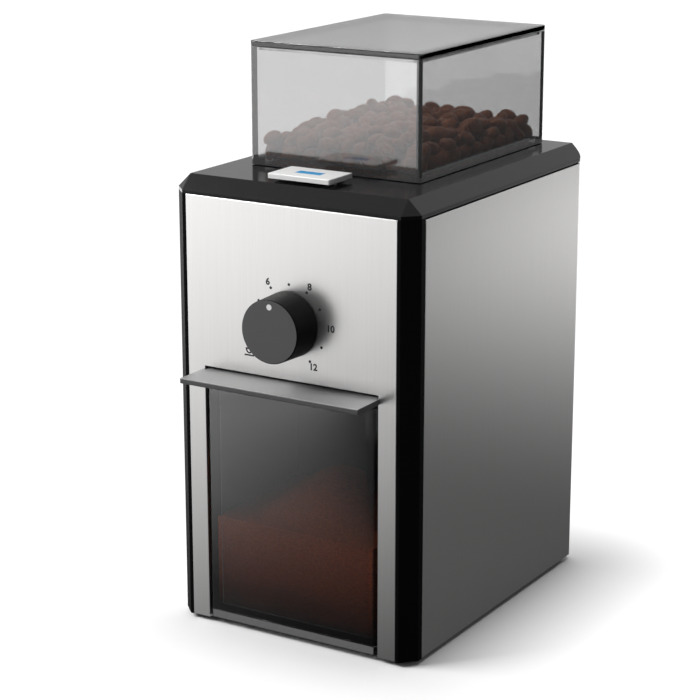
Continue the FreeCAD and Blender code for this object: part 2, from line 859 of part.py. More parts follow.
def burr():
    # Flat burr, teeth upwards, from z = 0: a coned throat, then skewed cutting grooves
    solid = post(0, 0, 0, burr_wall, burr_radius).cut(post(0, 0, 0, burr_wall, burr_bore_radius))
    cone = Part.makeCone(burr_bore_radius, burr_bore_radius + burr_throat_run, burr_throat_drop,
                         V(0, 0, burr_wall - burr_throat_drop), V(0, 0, 1))
    solid = solid.cut(cone)
    width = math.pi * burr_radius / burr_teeth
    profile = [V(burr_bore_radius / 2, -width / 2, burr_wall + 0.01),
               V(burr_bore_radius / 2, width / 2, burr_wall + 0.01),
               V(burr_bore_radius / 2, width / 2, burr_wall - burr_tooth_depth)]
    groove = polygon(profile).extrude(V(burr_radius, 0, 0))
    grooves = []
    for tooth in range(burr_teeth):
        cutter = groove.copy()
        cutter.translate(V(0, burr_tooth_skew, 0))
        cutter.rotate(V(0, 0, 0), V(0, 0, 1), 360 * tooth / burr_teeth)
        grooves.append(cutter)
    return solid.cut(grooves)


def lower_burr():
    solid = burr()
    solid.translate(V(0, burr_y, lower_burr_base))
    return solid


def upper_burr():
    solid = burr().mirror(V(0, 0, 0), V(0, 0, 1))
    solid.translate(V(0, burr_y, upper_burr_top))
    return solid


def hexagon(radius):
    corners = [math.pi * k / 3 for k in range(6)]
    return [(radius * math.cos(a), radius * math.sin(a)) for a in corners]


def burr_nut():
    points = [(x, burr_y + y) for x, y in hexagon(burr_nut_radius)]
    top = lower_burr_base + burr_nut_height
    nut = prism(points, lower_burr_base, top)
    return nut.cut(post(0, burr_y, lower_burr_base, top, burr_shaft_radius + press_gap))


def upper_carrier():
    # Holder of the upper burr: keyed against turning, raised and lowered by the ring
    plate = post(0, burr_y, upper_burr_top, upper_carrier_top, chamber_radius - fit_gap)
    plate = plate.fuse(post(0, burr_y, upper_carrier_top, feed_top, upper_neck_radius))
    reach = chamber_radius + key_reach
    key = block(-key_width / 2, key_width / 2, burr_y - reach, burr_y + reach, upper_burr_top,
                chamber_top - adjuster_travel)
    plate = plate.fuse(key)
    feed = Part.makeCone(feed_radius, feed_mouth_radius, feed_top - upper_burr_top,
                         V(0, burr_y, upper_burr_top), V(0, 0, 1))
    return plate.cut(feed).removeSplitter()


def adjusting_ring():
    # Toothed ring over the chamber that the fineness wheel turns
    ring = gear_blank(ring_teeth, ring_base, ring_face_top, 0, burr_y, math.pi / ring_teeth)
    ring = ring.fuse(post(0, burr_y, ring_base, ring_top, ring_pitch - 3 * gear_module))
    ring = ring.cut(post(0, burr_y, ring_base, ring_roof_low, chamber_radius + fit_gap))
    neck = post(0, burr_y, ring_base, ring_top, upper_neck_radius + fit_gap)
    return ring.cut(neck).removeSplitter()


def fineness_wheel():
    # Thumbwheel: gear below, notched rim above that stands out through the left side
    seat = wheel_seat + fit_gap
    wheel = gear_blank(wheel_teeth, ring_base, ring_face_top, wheel_x, burr_y, 0)
    wheel = wheel.fuse(post(wheel_x, burr_y, seat, rim_base, wheel_hub_radius))
    points = []
    for step in range(wheel_notches):
        for part, depth in ((0.1, 0), (0.4, wheel_notch_depth), (0.6, wheel_notch_depth), (0.9, 0)):
            angle = 2 * math.pi * (step + part) / wheel_notches
            radius = wheel_rim_radius - depth
            points.append((wheel_x + radius * math.cos(angle), burr_y + radius * math.sin(angle)))
    wheel = wheel.fuse(prism(points, rim_base, rim_top))
    wheel = wheel.fuse(post(wheel_x, burr_y, ring_face_top, rim_base, wheel_hub_radius))
    dish = tube(wheel_x, burr_y, rim_top - wheel_dish_depth, rim_top,
                wheel_rim_radius - wheel_rim_wall, wheel_hub_radius)
    bore = post(wheel_x, burr_y, seat, rim_top, wheel_pin_radius + running_gap)
    return wheel.cut(dish).cut(bore).removeSplitter()


def wheel_pin():
    low = wheel_seat - frame_wall - wheel_pin_radius
    return post(wheel_x, burr_y, low, rim_top, wheel_pin_radius)


def wheel_bezel():
    # Trim frame round the slot in the left side
    reach = slot_reach + bezel_border
    outer = soft_block(-half_width - bezel_proud, -half_width, burr_y - reach, burr_y + reach,
                       slot_low - bezel_border, slot_high + bezel_border, bezel_corner)
    reach = slot_reach - panel_gap
    return outer.cut(block(-body_width, 0, burr_y - reach, burr_y + reach,
                           slot_low + panel_gap, slot_high - panel_gap))


# Ground coffee container

def container():
    # Clear drawer; its front wall runs down over the edge of the base plate
    half = container_half
    wall = container_wall
    low = container_base - container_apron_drop
    box = soft_block(-half, half, front, container_rear, low, container_top, container_corner / 2)
    box = box.cut(block(-half, half, front + wall, container_rear, low, container_base))
    room = soft_block(-half + wall, half - wall, front + wall, container_rear - wall,
                      container_base + wall, container_top, container_corner)
    return box.cut(room)


def container_lid():
    # Lid with the chute's inlet and a broad lip that serves as the pull
    top = container_top + container_lid_wall
    half = container_half
    plate = block(-half, half, front - lip_reach, container_rear, container_top, top)
    lip_half = half_bay + lip_overhang
    lip = block(-lip_half, lip_half, front - lip_reach, front - fit_gap, container_top, top)
    lid = plate.fuse(lip).removeSplitter()
    lip_front = front - lip_reach
    edges = [e for e in lid.Edges if e.BoundBox.YMax < lip_front + 0.01 and e.BoundBox.XLength > 1]
    lid = lid.makeFillet(container_lid_wall / 4, edges)
    inset = container_wall + lid_rim_gap
    x = half - inset
    y0 = front + inset
    y1 = container_rear - inset
    low = container_top - lid_rim_depth
    rim = soft_block(-x, x, y0, y1, low, container_top, container_corner)
    wall = lid_rim_wall
    rim = rim.cut(soft_block(-x + wall, x - wall, y0 + wall, y1 - wall, low, container_top,
                             container_corner / 2))
    inlet = block(-chute_width / 2, chute_width / 2, chute_front, chute_front + chute_run, low, top)
    return lid.fuse(rim).cut(inlet).removeSplitter()


# Bean hopper

def rectangle(half_x, half_y, centre_y, z):
    points = [V(-half_x, centre_y - half_y, z), V(half_x, centre_y - half_y, z),
              V(half_x, centre_y + half_y, z), V(-half_x, centre_y + half_y, z)]
    return Part.makePolygon(points + [points[0]])


def funnel(half_x, half_y, outlet_half):
    wide = rectangle(half_x, half_y, hopper_y, spigot_base)
    narrow = rectangle(outlet_half, outlet_half, burr_y, funnel_base)
    return Part.makeLoft([narrow, wide], True, True)


def hopper():
    # Clear box on the deck; its floor falls through the deck to a square outlet over the burrs
    wall = hopper_wall
    walls = soft_block(-hopper_half, hopper_half, hopper_front, hopper_rear, hopper_base, hopper_top,
                       hopper_corner)
    room = block(-hopper_half + wall, hopper_half - wall, hopper_front + wall, hopper_rear - wall,
                 hopper_base + wall, hopper_top)
    spigot = soft_block(-spigot_half_x, spigot_half_x, hopper_y - spigot_half_y, hopper_y + spigot_half_y,
                        spigot_base, hopper_base, hopper_corner / 2)
    in_x = spigot_half_x - wall
    in_y = spigot_half_y - wall
    spigot_room = block(-in_x, in_x, hopper_y - in_y, hopper_y + in_y, spigot_base, hopper_base + wall)
    outlet = outlet_width / 2
    neck = outlet + outlet_wall
    shell = funnel(spigot_half_x - press_gap, spigot_half_y - press_gap, neck)
    tube_shell = block(-neck, neck, burr_y - neck, burr_y + neck, outlet_base, funnel_base)
    solid = walls.fuse([spigot, shell, tube_shell])
    solid = solid.cut(room).cut(spigot_room).cut(funnel(in_x, in_y, outlet))
    return solid.cut(block(-outlet, outlet, burr_y - outlet, burr_y + outlet, outlet_base, funnel_base))


def hopper_lid():
    # Flat lid with a shallow rim that keeps it in place
    low = hopper_top + panel_gap
    top = low + hopper_lid_wall
    rim_low = hopper_top - hopper_rim_depth
    plate = soft_block(-hopper_half, hopper_half, hopper_front, hopper_rear, low, top, hopper_corner)
    x = hopper_half - hopper_wall - lid_rim_gap
    y = hopper_half_y - hopper_wall - lid_rim_gap
    rim = block(-x, x, hopper_y - y, hopper_y + y, rim_low, low)
    x -= lid_rim_wall
    y -= lid_rim_wall
    rim = rim.cut(block(-x, x, hopper_y - y, hopper_y + y, rim_low, low))
    return plate.fuse(rim).removeSplitter()


# Start button

def peg_places():
    return [(side * peg_spread / 2, button_y) for side in (-1, 1)]


def button_cap():
    x = button_width / 2
    y = button_depth / 2
    cap = soft_block(-x, x, button_y - y, button_y + y, button_base, button_top, button_corner)
    upper = [e for e in cap.Edges if e.BoundBox.ZMin > button_top - 0.01]
    cap = cap.makeFillet(button_cap_wall / 5, upper)
    for px, py in peg_places():
        cap = cap.fuse(post(px, py, peg_low, button_base, peg_radius))
        cap = cap.fuse(post(px, py, flange_base, flange_top, peg_flange_radius))
    return cap.cut(window_block(button_base, button_top, 0)).removeSplitter()


def window_block(z0, z1, inset):
    x = window_width / 2 - inset
    y = window_depth / 2 - inset
    return block(-x, x, button_y - y, button_y + y, z0, z1)


def light_guide():
    # Clear window in the cap that carries the lamp's light up from the board
    head = window_block(button_base, button_top, press_gap)
    return head.fuse(window_block(guide_low, button_base, window_depth / 6)).removeSplitter()


def button_board():
    x = button_width / 2
    y = button_depth / 2
    return block(-x, x, button_y - y, button_y + y, board_top - board_wall, board_top)


def start_switch():
    x = -peg_spread / 2
    half = switch_width / 2
    body = block(x - half, x + half, button_y - half, button_y + half, board_top,
                 board_top + switch_case_height)
    return body.fuse(post(x, button_y, board_top, switch_top, switch_plunger_radius))


def indicator_lamp():
    top = guide_low - button_travel - fit_gap
    dome = window_depth / 3
    lamp = post(0, button_y, board_top, top - dome, dome)
    return lamp.fuse(Part.makeSphere(dome, V(0, button_y, top - dome))).removeSplitter()


def button_spring():
    # Coil spring round the right-hand peg, between the board and the peg's flange
    radius = peg_radius + fit_gap + spring_wire
    low = board_top + spring_wire / 2
    high = flange_base - spring_wire / 2
    height = high - low
    helix = Part.makeHelix(height / spring_turns, height, radius)
    circle = Part.Wire(Part.makeCircle(spring_wire / 2, V(radius, 0, 0), V(0, 1, 0)))
    coil = Part.Wire(helix.Edges).makePipeShell([circle], True, True)
    coil.translate(V(peg_spread / 2, button_y, low))
    return coil


# Quantity knob

def quantity_knob():
    # Hollow knob with a drafted side, a crisp face edge and a hub for the spindle
    base = front - knob_gap
    radius = knob_diameter / 2
    length = base - knob_face
    out = V(0, -1, 0)
    knob = Part.makeCone(radius, radius - knob_draft, length, V(0, base, knob_height), out)
    face = [e for e in knob.Edges if e.BoundBox.YMax < knob_face + 0.01]
    knob = knob.makeFillet(knob_edge, face)
    inner = radius - knob_draft - knob_wall
    knob = knob.cut(rod(0, knob_face + knob_wall, base + 1, knob_height, inner))
    hub_end = front - pot_nut_wall - knob_wall
    knob = knob.fuse(rod(0, knob_face + knob_wall / 2, hub_end, knob_height, knob_hub_radius))
    knob = knob.cut(rod(0, spindle_end, base + 1, knob_height, pot_shaft_radius + press_gap))
    recess = rod(0, knob_face - 1, knob_face + dot_depth, knob_height + dot_offset, dot_radius)
    return knob.cut(recess).removeSplitter()


def knob_dot():
    return rod(0, knob_face, knob_face + dot_depth, knob_height + dot_offset, dot_radius - press_gap)


def knob_spindle():
    return rod(0, spindle_end + press_gap, front_inner + pot_depth / 2, knob_height, pot_shaft_radius)


def potentiometer():
    body = rod(0, front_inner, front_inner + pot_depth, knob_height, pot_radius)
    body = body.fuse(rod(0, front - pot_nut_wall - knob_gap, front_inner, knob_height, pot_bush_radius))
    half = pot_tag_width / 2
    tags = block(-half, half, front_inner + pot_depth / 3, front_inner + pot_depth / 2,
                 knob_height - pot_tag_reach, knob_height)
    bore = rod(0, front - 2 * pot_nut_wall, front_inner + pot_depth / 2, knob_height,
               pot_shaft_radius + running_gap)
    return body.fuse(tags).cut(bore).removeSplitter()


def knob_nut():
    radius = pot_nut_flats / math.sqrt(3)
    face = polygon([V(x, front - pot_nut_wall, knob_height + z) for x, z in hexagon(radius)])
    nut = face.extrude(V(0, pot_nut_wall, 0))
    return nut.cut(rod(0, front - pot_nut_wall, front, knob_height, pot_bush_radius + press_gap))


# Motor

def motor_can():
    can = post(0, motor_y, motor_base, motor_top, motor_radius)
    can = can.cut(post(0, motor_y, motor_base, motor_top - motor_wall, motor_radius - motor_wall))
    can = can.cut(post(0, motor_y, motor_base, motor_top, motor_bush_radius + press_gap))
    for side in (-1, 1):
        half = motor_radius / 4
        reach = 2 * motor_radius
        vent = block(-half, half, motor_y - reach, motor_y + reach, fan_base, fan_base + fan_height)
        vent.rotate(V(0, motor_y, 0), V(0, 0, 1), 45 * side)
        can = can.cut(vent)
    return can.removeSplitter()


def motor_cap():
    # Lower end plate with the bush seat and the two brush boxes
    low = motor_base - motor_cap_wall
    cap = post(0, motor_y, low, motor_base, motor_radius)
    cap = cap.fuse(post(0, motor_y, motor_base - motor_bush_length, low, motor_bush_radius + motor_wall))
    for side in (-1, 1):
        x0, x1 = sorted((side * (commutator_radius + 1), side * (commutator_radius + brush_length)))
        half = brush_width / 2 + motor_wall
        box = block(x0, x1, motor_y - half, motor_y + half, motor_base,
                    commutator_base + commutator_length)
        cap = cap.fuse(box).cut(brush(side, press_gap))
    seat = post(0, motor_y, low - motor_bush_length, motor_base, motor_bush_radius + press_gap)
    return cap.cut(seat).removeSplitter()


def brush(side, room):
    tip = commutator_radius + running_gap
    x0, x1 = sorted((side * tip, side * (commutator_radius + brush_length)))
    middle = commutator_base + commutator_length / 2
    half = brush_width / 2 + room
    return block(x0, x1, motor_y - half, motor_y + half, middle - half, middle + half)


def carbon_brushes():
    return [brush(side, 0) for side in (-1, 1)]


def motor_bushes():
    inner = motor_shaft_radius + running_gap
    low = tube(0, motor_y, motor_base - motor_bush_length, motor_base, motor_bush_radius, inner)
    high = tube(0, motor_y, motor_top - motor_bush_length / 2, motor_top + motor_bush_length / 2,
                motor_bush_radius, inner)
    return [low, high]


def field_magnets():
    outer = motor_radius - motor_wall - press_gap
    inner = armature_radius + magnet_gap
    z0 = armature_base - rotor_gap / 2
    height = armature_length + rotor_gap
    magnets = []
    for turn in (0, 180):
        sector = Part.makeCylinder(outer, height, V(0, 0, 0), V(0, 0, 1), magnet_sweep)
        sector = sector.cut(Part.makeCylinder(inner, height, V(0, 0, 0), V(0, 0, 1)))
        sector.rotate(V(0, 0, 0), V(0, 0, 1), turn - magnet_sweep / 2)
        sector.translate(V(0, motor_y, z0))
        magnets.append(sector)
    return magnets


def motor_bracket():
    half = bracket_width / 2
    low = motor_top
    high = motor_top + bracket_wall
    plate = soft_block(-half, half, motor_y - half, motor_y + half, low, high, mount_radius)
    plate = plate.cut(post(0, motor_y, low, high, motor_bush_radius + press_gap))
    for x, y in motor_mount_places():
        plate = plate.cut(post(x, y, low, high, screw_radius + press_gap))
    return plate


def rubber_mounts():
    low = motor_top + bracket_wall
    bore = screw_radius + press_gap
    return [tube(x, y, low, bay_top, mount_radius, bore) for x, y in motor_mount_places()]


def motor_screws():
    return [screw(V(x, y, deck_top), V(0, 0, -1)) for x, y in motor_mount_places()]


def motor_shaft():
    return post(0, motor_y, motor_base - motor_bush_length, gear_top + gear_module, motor_shaft_radius)


def motor_pinion():
    low = gear_base - gear_module
    high = gear_top + gear_module
    phase = math.pi / pinion_teeth - math.pi / 2
    pinion = gear_blank(pinion_teeth, low, high, 0, motor_y, phase)
    return pinion.cut(post(0, motor_y, low, high, motor_shaft_radius + press_gap))


def armature():
    # Slotted iron core
    low = armature_base
    high = low + armature_length
    core = tube(0, motor_y, low, high, armature_radius, motor_shaft_radius + press_gap)
    half = armature_slot_width / 2
    slots = []
    for step in range(armature_slots):
        slot = block(armature_core_radius, armature_radius + 1, -half, half, low, high)
        slot.rotate(V(0, 0, 0), V(0, 0, 1), 360 * step / armature_slots)
        slot.translate(V(0, motor_y, 0))
        slots.append(slot)
    return core.cut(slots)


def commutator():
    high = commutator_base + commutator_length
    bore = motor_shaft_radius + press_gap
    return tube(0, motor_y, commutator_base, high, commutator_radius, bore)


def cooling_fan():
    # Radial fan: hub, back disc and straight blades
    low = fan_base
    high = low + fan_height
    fan = post(0, motor_y, low, high, motor_bush_radius)
    fan = fan.fuse(post(0, motor_y, low, low + fan_blade_wall, fan_radius))
    half = fan_blade_wall / 2
    for step in range(fan_blades):
        blade = block(motor_bush_radius - 1, fan_radius, -half, half, low, high)
        blade.rotate(V(0, 0, 0), V(0, 0, 1), 360 * step / fan_blades)
        blade.translate(V(0, motor_y, 0))
        fan = fan.fuse(blade)
    return fan.cut(post(0, motor_y, low, high, motor_shaft_radius + press_gap)).removeSplitter()


# Electrics

def control_board():
    # Board on the right-hand wall, with its relay and capacitors
    x = control_face
    board = block(x, x + board_wall, control_y - control_length / 2, control_y + control_length / 2,
                  control_base, control_base + control_height)
    return [board] + board_components()


def standoffs():
    pins = []
    reach = control_length / 2 - boss_radius
    for y in (control_y - reach, control_y + reach):
        for z in (control_base + boss_radius, control_base + control_height - boss_radius):
            x = control_face + board_wall
            pins.append(Part.makeCylinder(boss_radius / 2, side_inner - x, V(x, y, z), V(1, 0, 0)))
    return pins


def board_components():
    x = control_face
    z = control_base + control_height / 2
    relay = block(x - relay_depth, x, control_y - relay_length / 2, control_y + relay_length / 2,
                  z - relay_height / 2, z + relay_height / 2)
    parts = [relay]
    for side in (-1, 1):
        y = control_y + side * (relay_length / 2 + 2 * capacitor_radius)
        foot = V(x - capacitor_length, y, z)
        parts.append(Part.makeCylinder(capacitor_radius, capacitor_length, foot, V(1, 0, 0)))
    return parts


def container_switch():
    z = interlock_z
    half = interlock_length / 2
    body = block(interlock_x - half, interlock_x + half, bay_rear, bay_rear + interlock_depth,
                 z - interlock_height / 2, z + interlock_height / 2)
    return body.fuse(rod(interlock_x, bay_rear - frame_wall - fit_gap / 2, bay_rear, z, interlock_button))


def hopper_switch():
    top = deck_roof
    x = spigot_half_x + slide_gap + panel_gap
    half = interlock_length / 2
    body = block(x, x + interlock_depth, hopper_y - half, hopper_y + half, top - interlock_height, top)
    tip = spigot_half_x + slide_gap / 2
    place = V(tip, hopper_y, top - interlock_height / 3)
    return body.fuse(Part.makeCylinder(interlock_button, x - tip, place, V(1, 0, 0)))


PIECES = [
    main_housing, front_panel, left_panel, right_panel, top_frame, hopper_seal, rear_cover, cable_gland,
    rear_screws, base_plate, rubber_feet, base_screws, inner_frame, chute, burr_housing, burr_bushes,
    housing_screws, burr_shaft, drive_gear, burr_carrier, lower_burr, upper_burr, burr_nut,
    upper_carrier, adjusting_ring, fineness_wheel, wheel_pin, wheel_bezel, container, container_lid,
    hopper, hopper_lid, button_cap, light_guide, button_board, start_switch, indicator_lamp,
    button_spring, quantity_knob, knob_dot, knob_spindle, potentiometer, knob_nut, motor_can, motor_cap,
    carbon_brushes, motor_bushes, field_magnets, motor_bracket, rubber_mounts, motor_screws, motor_shaft,
    motor_pinion, armature, commutator, cooling_fan, control_board, container_switch, hopper_switch]


def main():
    os.makedirs("parts", exist_ok=True)
    for make in PIECES:
        made = make()
        shape = Part.Compound(made) if isinstance(made, list) else made
        write(make.__name__, shape)
        print(make.__name__, len(shape.Solids), round(shape.Volume, 1), shape.isValid())


main()
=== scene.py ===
import json
import math
import random

import bpy
from mathutils import Euler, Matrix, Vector

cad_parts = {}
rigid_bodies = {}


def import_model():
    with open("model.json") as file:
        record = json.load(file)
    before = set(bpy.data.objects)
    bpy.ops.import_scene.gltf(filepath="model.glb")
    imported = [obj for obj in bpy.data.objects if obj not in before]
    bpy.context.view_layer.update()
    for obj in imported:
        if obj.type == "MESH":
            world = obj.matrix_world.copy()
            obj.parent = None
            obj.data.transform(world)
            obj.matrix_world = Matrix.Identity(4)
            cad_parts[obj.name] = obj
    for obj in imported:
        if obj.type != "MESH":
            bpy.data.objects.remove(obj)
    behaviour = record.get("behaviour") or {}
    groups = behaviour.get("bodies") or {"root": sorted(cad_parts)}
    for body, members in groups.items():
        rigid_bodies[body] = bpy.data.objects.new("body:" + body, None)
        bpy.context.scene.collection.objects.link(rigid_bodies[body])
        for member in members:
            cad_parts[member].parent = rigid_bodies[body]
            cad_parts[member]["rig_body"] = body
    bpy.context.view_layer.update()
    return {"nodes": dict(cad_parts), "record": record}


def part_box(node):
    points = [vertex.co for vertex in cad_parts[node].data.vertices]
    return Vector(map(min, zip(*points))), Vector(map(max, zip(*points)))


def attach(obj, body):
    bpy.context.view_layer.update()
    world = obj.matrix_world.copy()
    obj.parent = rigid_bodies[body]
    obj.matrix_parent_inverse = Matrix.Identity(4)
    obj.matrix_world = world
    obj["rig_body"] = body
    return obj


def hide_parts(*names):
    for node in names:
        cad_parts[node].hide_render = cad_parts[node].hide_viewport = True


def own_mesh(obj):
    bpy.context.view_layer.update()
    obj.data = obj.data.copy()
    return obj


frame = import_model()
scene = bpy.context.scene
mm = 0.001
print("frame loaded:", len(frame["nodes"]), "nodes")


def linearColour(code):
    parts = [int(code[i:i + 2], 16) / 255 for i in (1, 3, 5)]
    return [p / 12.92 if p <= 0.04045 else ((p + 0.055) / 1.055) ** 2.4 for p in parts] + [1.0]


def addNode(tree, kind, inputs=None, **settings):
    made = tree.nodes.new("ShaderNode" + kind)
    for key, value in settings.items():
        setattr(made, key, value)
    for key, value in (inputs or {}).items():
        if isinstance(value, bpy.types.NodeSocket):
            tree.links.new(value, made.inputs[key])
        else:
            made.inputs[key].default_value = value
    return made


def newMaterial(name, constants):
    material = bpy.data.materials.new(name)
    material.use_nodes = True
    tree = material.node_tree
    shader = tree.nodes["Principled BSDF"]
    for key, value in constants.items():
        shader.inputs[key].default_value = value
    return material, tree, shader


def grainFinish(name, light, dark, grain, bump, roughness, stretch=(1, 1, 1), shine=0.5, **constants):
    # two close colours, gloss and relief all follow one grain, whose size is in mm along each axis
    constants["Specular IOR Level"] = shine
    material, tree, shader = newMaterial(name, constants)
    spot = addNode(tree, "TexCoord")
    scale = [1 / (grain * mm * s) for s in stretch]
    turned = addNode(tree, "Mapping", {"Vector": spot.outputs["Object"], "Scale": scale})
    noise = addNode(tree, "TexNoise", {"Vector": turned.outputs["Vector"], "Scale": 1.0, "Detail": 3.0})
    fac = noise.outputs["Fac"]
    shades = addNode(tree, "MixRGB", {"Fac": fac, "Color1": linearColour(light),
                                      "Color2": linearColour(dark)})
    gloss = addNode(tree, "MapRange", {"Value": fac, "To Min": roughness[0], "To Max": roughness[1]})
    relief = addNode(tree, "Bump", {"Height": fac, "Strength": 1.0, "Distance": bump * mm})
    tree.links.new(shades.outputs["Color"], shader.inputs["Base Color"])
    tree.links.new(gloss.outputs["Result"], shader.inputs["Roughness"])
    tree.links.new(relief.outputs["Normal"], shader.inputs["Normal"])
    return material


# stainless sheet, brushed upright: streaks 0.5 mm wide (finer ones would not show) and 60 mm long
brushedStainless = grainFinish(
    "brushedStainless", "#d9d8d7", "#d0cfce", 0.5, 0.002, (0.26, 0.33), stretch=(1, 1, 120), Metallic=1.0)
# gloss black ABS: a mirror-like skin with a slow ripple from the mould
glossBlackAbs = grainFinish("glossBlackAbs", "#0e0e0f", "#0a0a0b", 9.0, 0.004, (0.1, 0.16), shine=0.14)
# satin black ABS from a spark-eroded mould: soft highlights broken up by 0.4 mm grit
satinBlackAbs = grainFinish("satinBlackAbs", "#0a0a0b", "#060607", 0.4, 0.004, (0.45, 0.55), shine=0.03)
# the knob's ABS is moulded in the same grit: a deep black with hardly a highlight
knobAbs = grainFinish("knobAbs", "#060606", "#040404", 0.4, 0.006, (0.4, 0.5), shine=0.06)
# the knob's face is duller and greyer than its side: a lit copy of the knob's black, its grey painted light
# from the key lamp on the face
turnedAbs = grainFinish("turnedAbs", "#4f4f50", "#484849", 0.5, 0.006, (0.4, 0.5), shine=0.3)
# grey ABS of the strip under the drawer: plain, with a soft sheen
apronAbs = grainFinish("apronAbs", "#757576", "#6e6e6f", 0.5, 0.004, (0.4, 0.5), shine=0.3)
# glass-filled nylon for the hidden mouldings, duller than ABS
greyNylon = grainFinish("greyNylon", "#6b6b6d", "#5c5c5e", 0.5, 0.015, (0.5, 0.65), IOR=1.53)
# white moulded ABS: clean and even, with a soft highlight
whiteAbs = grainFinish("whiteAbs", "#e6e6e5", "#e0e0df", 0.5, 0.003, (0.28, 0.36), IOR=1.53)
# moulded acetal: a waxy skin, a little off white
whiteAcetal = grainFinish("whiteAcetal", "#dcdbd4", "#d2d1ca", 0.6, 0.006, (0.34, 0.44), IOR=1.48)
# moulded rubber: black, with no clear highlight
blackRubber = grainFinish("blackRubber", "#1c1c1c", "#141414", 0.3, 0.02, (0.7, 0.85), IOR=1.52)
# zinc-plated steel: bright and a little cloudy
zincSteel = grainFinish("zincSteel", "#c2c4c6", "#aeb0b3", 1.2, 0.003, (0.26, 0.38), Metallic=1.0)
# ground tool steel: greyer, with a fine grit left by the wheel
groundSteel = grainFinish("groundSteel", "#b5b5b8", "#9b9b9f", 0.4, 0.005, (0.28, 0.42), Metallic=1.0)
# sintered bronze: dull gold with an open grain
sinteredBronze = grainFinish("sinteredBronze", "#b28a4e", "#99743e", 0.25, 0.01, (0.42, 0.56), Metallic=1.0)
# turned copper: a warm metal with a fine tool mark
turnedCopper = grainFinish("turnedCopper", "#c6764f", "#b0643f", 0.3, 0.004, (0.3, 0.42), Metallic=1.0)
# pressed carbon and sintered ferrite: dark, gritty and nearly matt
pressedCarbon = grainFinish("pressedCarbon", "#2a2a2b", "#1f1f20", 0.25, 0.01, (0.6, 0.75))
sinteredFerrite = grainFinish("sinteredFerrite", "#3b3b3d", "#2f2f31", 0.3, 0.012, (0.6, 0.75))
# stacked iron sheets, 0.5 mm thick: fine bands round the core
laminatedIron = grainFinish(
    "laminatedIron", "#77777a", "#5f5f62", 0.5, 0.01, (0.4, 0.55), stretch=(20, 20, 1), Metallic=1.0)
# circuit board of glass-filled resin under green lacquer: smooth and faintly mottled
circuitLaminate = grainFinish("circuitLaminate", "#2c6a45", "#245a3a", 0.8, 0.004, (0.35, 0.5))
# pad-printed ink: a thin, dull black
printedInk = grainFinish("printedInk", "#1b1b1b", "#151515", 0.8, 0.002, (0.5, 0.6))
# blue acrylic lens with a lamp behind it: an even colour that glows a little
blueLens = grainFinish(
    "blueLens", "#1c86b8", "#156fa0", 4.0, 0.0, (0.15, 0.2), IOR=1.49,
    **{"Emission Color": linearColour("#1c86b8"), "Emission Strength": 0.35})
# roasted bean: brown skin, lighter at the ridges of its wrinkles, with a little oil
roastedBean = grainFinish(
    "roastedBean", "#b8642c", "#642c12", 1.6, 0.12, (0.4, 0.6), shine=0.35, IOR=1.45,
    **{"Coat Weight": 0.04, "Coat Roughness": 0.35})
# ground coffee: 0.9 mm grains, drawn a little coarse so that they show
groundCoffee = grainFinish("groundCoffee", "#b05226", "#4c1e0c", 0.9, 0.4, (0.9, 1.0), shine=0.1)
# a tinted sheet seen on its edge is looked into lengthways, so it is far darker than its face
styreneEdge = grainFinish("styreneEdge", "#4b4b4c", "#454546", 0.5, 0.002, (0.3, 0.4), shine=0.3)


styrene = {"skin": "#fafafa", "smoke": "#8c8c8e", "flowMarks": 12.0, "polished": (0.01, 0.04)}  # marks in mm


def clearFinish(name, depth, haze, index, gloss=styrene["polished"]):
    # clear moulded styrene, smoke tinted in its mass: walls look clear, and their long edges dark
    # the tint works over a depth in mm, and the haze is the share of light that doesn't pass
    material, tree, shader = newMaterial(
        name, {"IOR": index, "Base Color": linearColour(styrene["skin"]), "Transmission Weight": 1 - haze})
    smoke = addNode(tree, "VolumeAbsorption", {"Color": linearColour(styrene["smoke"]),
                                               "Density": 1 / (depth * mm)})
    tree.links.new(smoke.outputs["Volume"], tree.nodes["Material Output"].inputs["Volume"])
    spot = addNode(tree, "TexCoord").outputs["Object"]
    flow = addNode(tree, "TexNoise", {"Vector": spot, "Scale": 1 / (styrene["flowMarks"] * mm),
                                      "Detail": 2.0})
    rough = addNode(tree, "MapRange", {"Value": flow.outputs["Fac"], "To Min": gloss[0], "To Max": gloss[1]})
    tree.links.new(rough.outputs["Result"], shader.inputs["Roughness"])
    return material


smokedHopper = clearFinish("smokedHopperStyrene", depth=8.2, haze=0.025, index=1.85)
smokedLid = clearFinish("smokedLidStyrene", depth=4.2, haze=0.0, index=1.7)
smokedContainer = clearFinish("smokedContainerStyrene", depth=8.5, haze=0.0, index=1.3)
# the drawer's lip is a frosted sheet
smokedLip = clearFinish("smokedLipStyrene", depth=1.6, haze=0.2, index=1.6, gloss=(0.34, 0.42))


def paintShadeDown(material, low, high, share):
    # painted shade: darker towards the bottom, between two heights in mm, where less light reaches
    tree = material.node_tree
    skin = tree.nodes["Principled BSDF"].inputs["Base Color"]
    spot = addNode(tree, "SeparateXYZ", {"Vector": addNode(tree, "TexCoord").outputs["Object"]})
    depth = addNode(tree, "MapRange", {"Value": spot.outputs["Z"], "From Min": low * mm,
                                       "From Max": high * mm, "To Min": share, "To Max": 1.0})
    shade = addNode(tree, "MixRGB", {"Fac": 1.0, "Color1": skin.links[0].from_socket,
                                     "Color2": depth.outputs[0]}, blend_type="MULTIPLY")
    tree.links.new(shade.outputs["Color"], skin)


# painted shade on the grounds, darkest low in the drawer
paintShadeDown(groundCoffee, low=10, high=45, share=0.06)


# the slopes are reached at the halves, in mm from the middle of the front, whose height is in mm too
drawerFront = {"slopes": (0.3, 0.12), "halves": (43.0, 55.0), "height": 65.0, "facing": -0.9,
               "coatIor": 1.7, "coatRough": 0.03,
               "dulled": {"From Min": 20 * mm, "From Max": 62 * mm, "To Min": 0.22, "To Max": 1.0}}


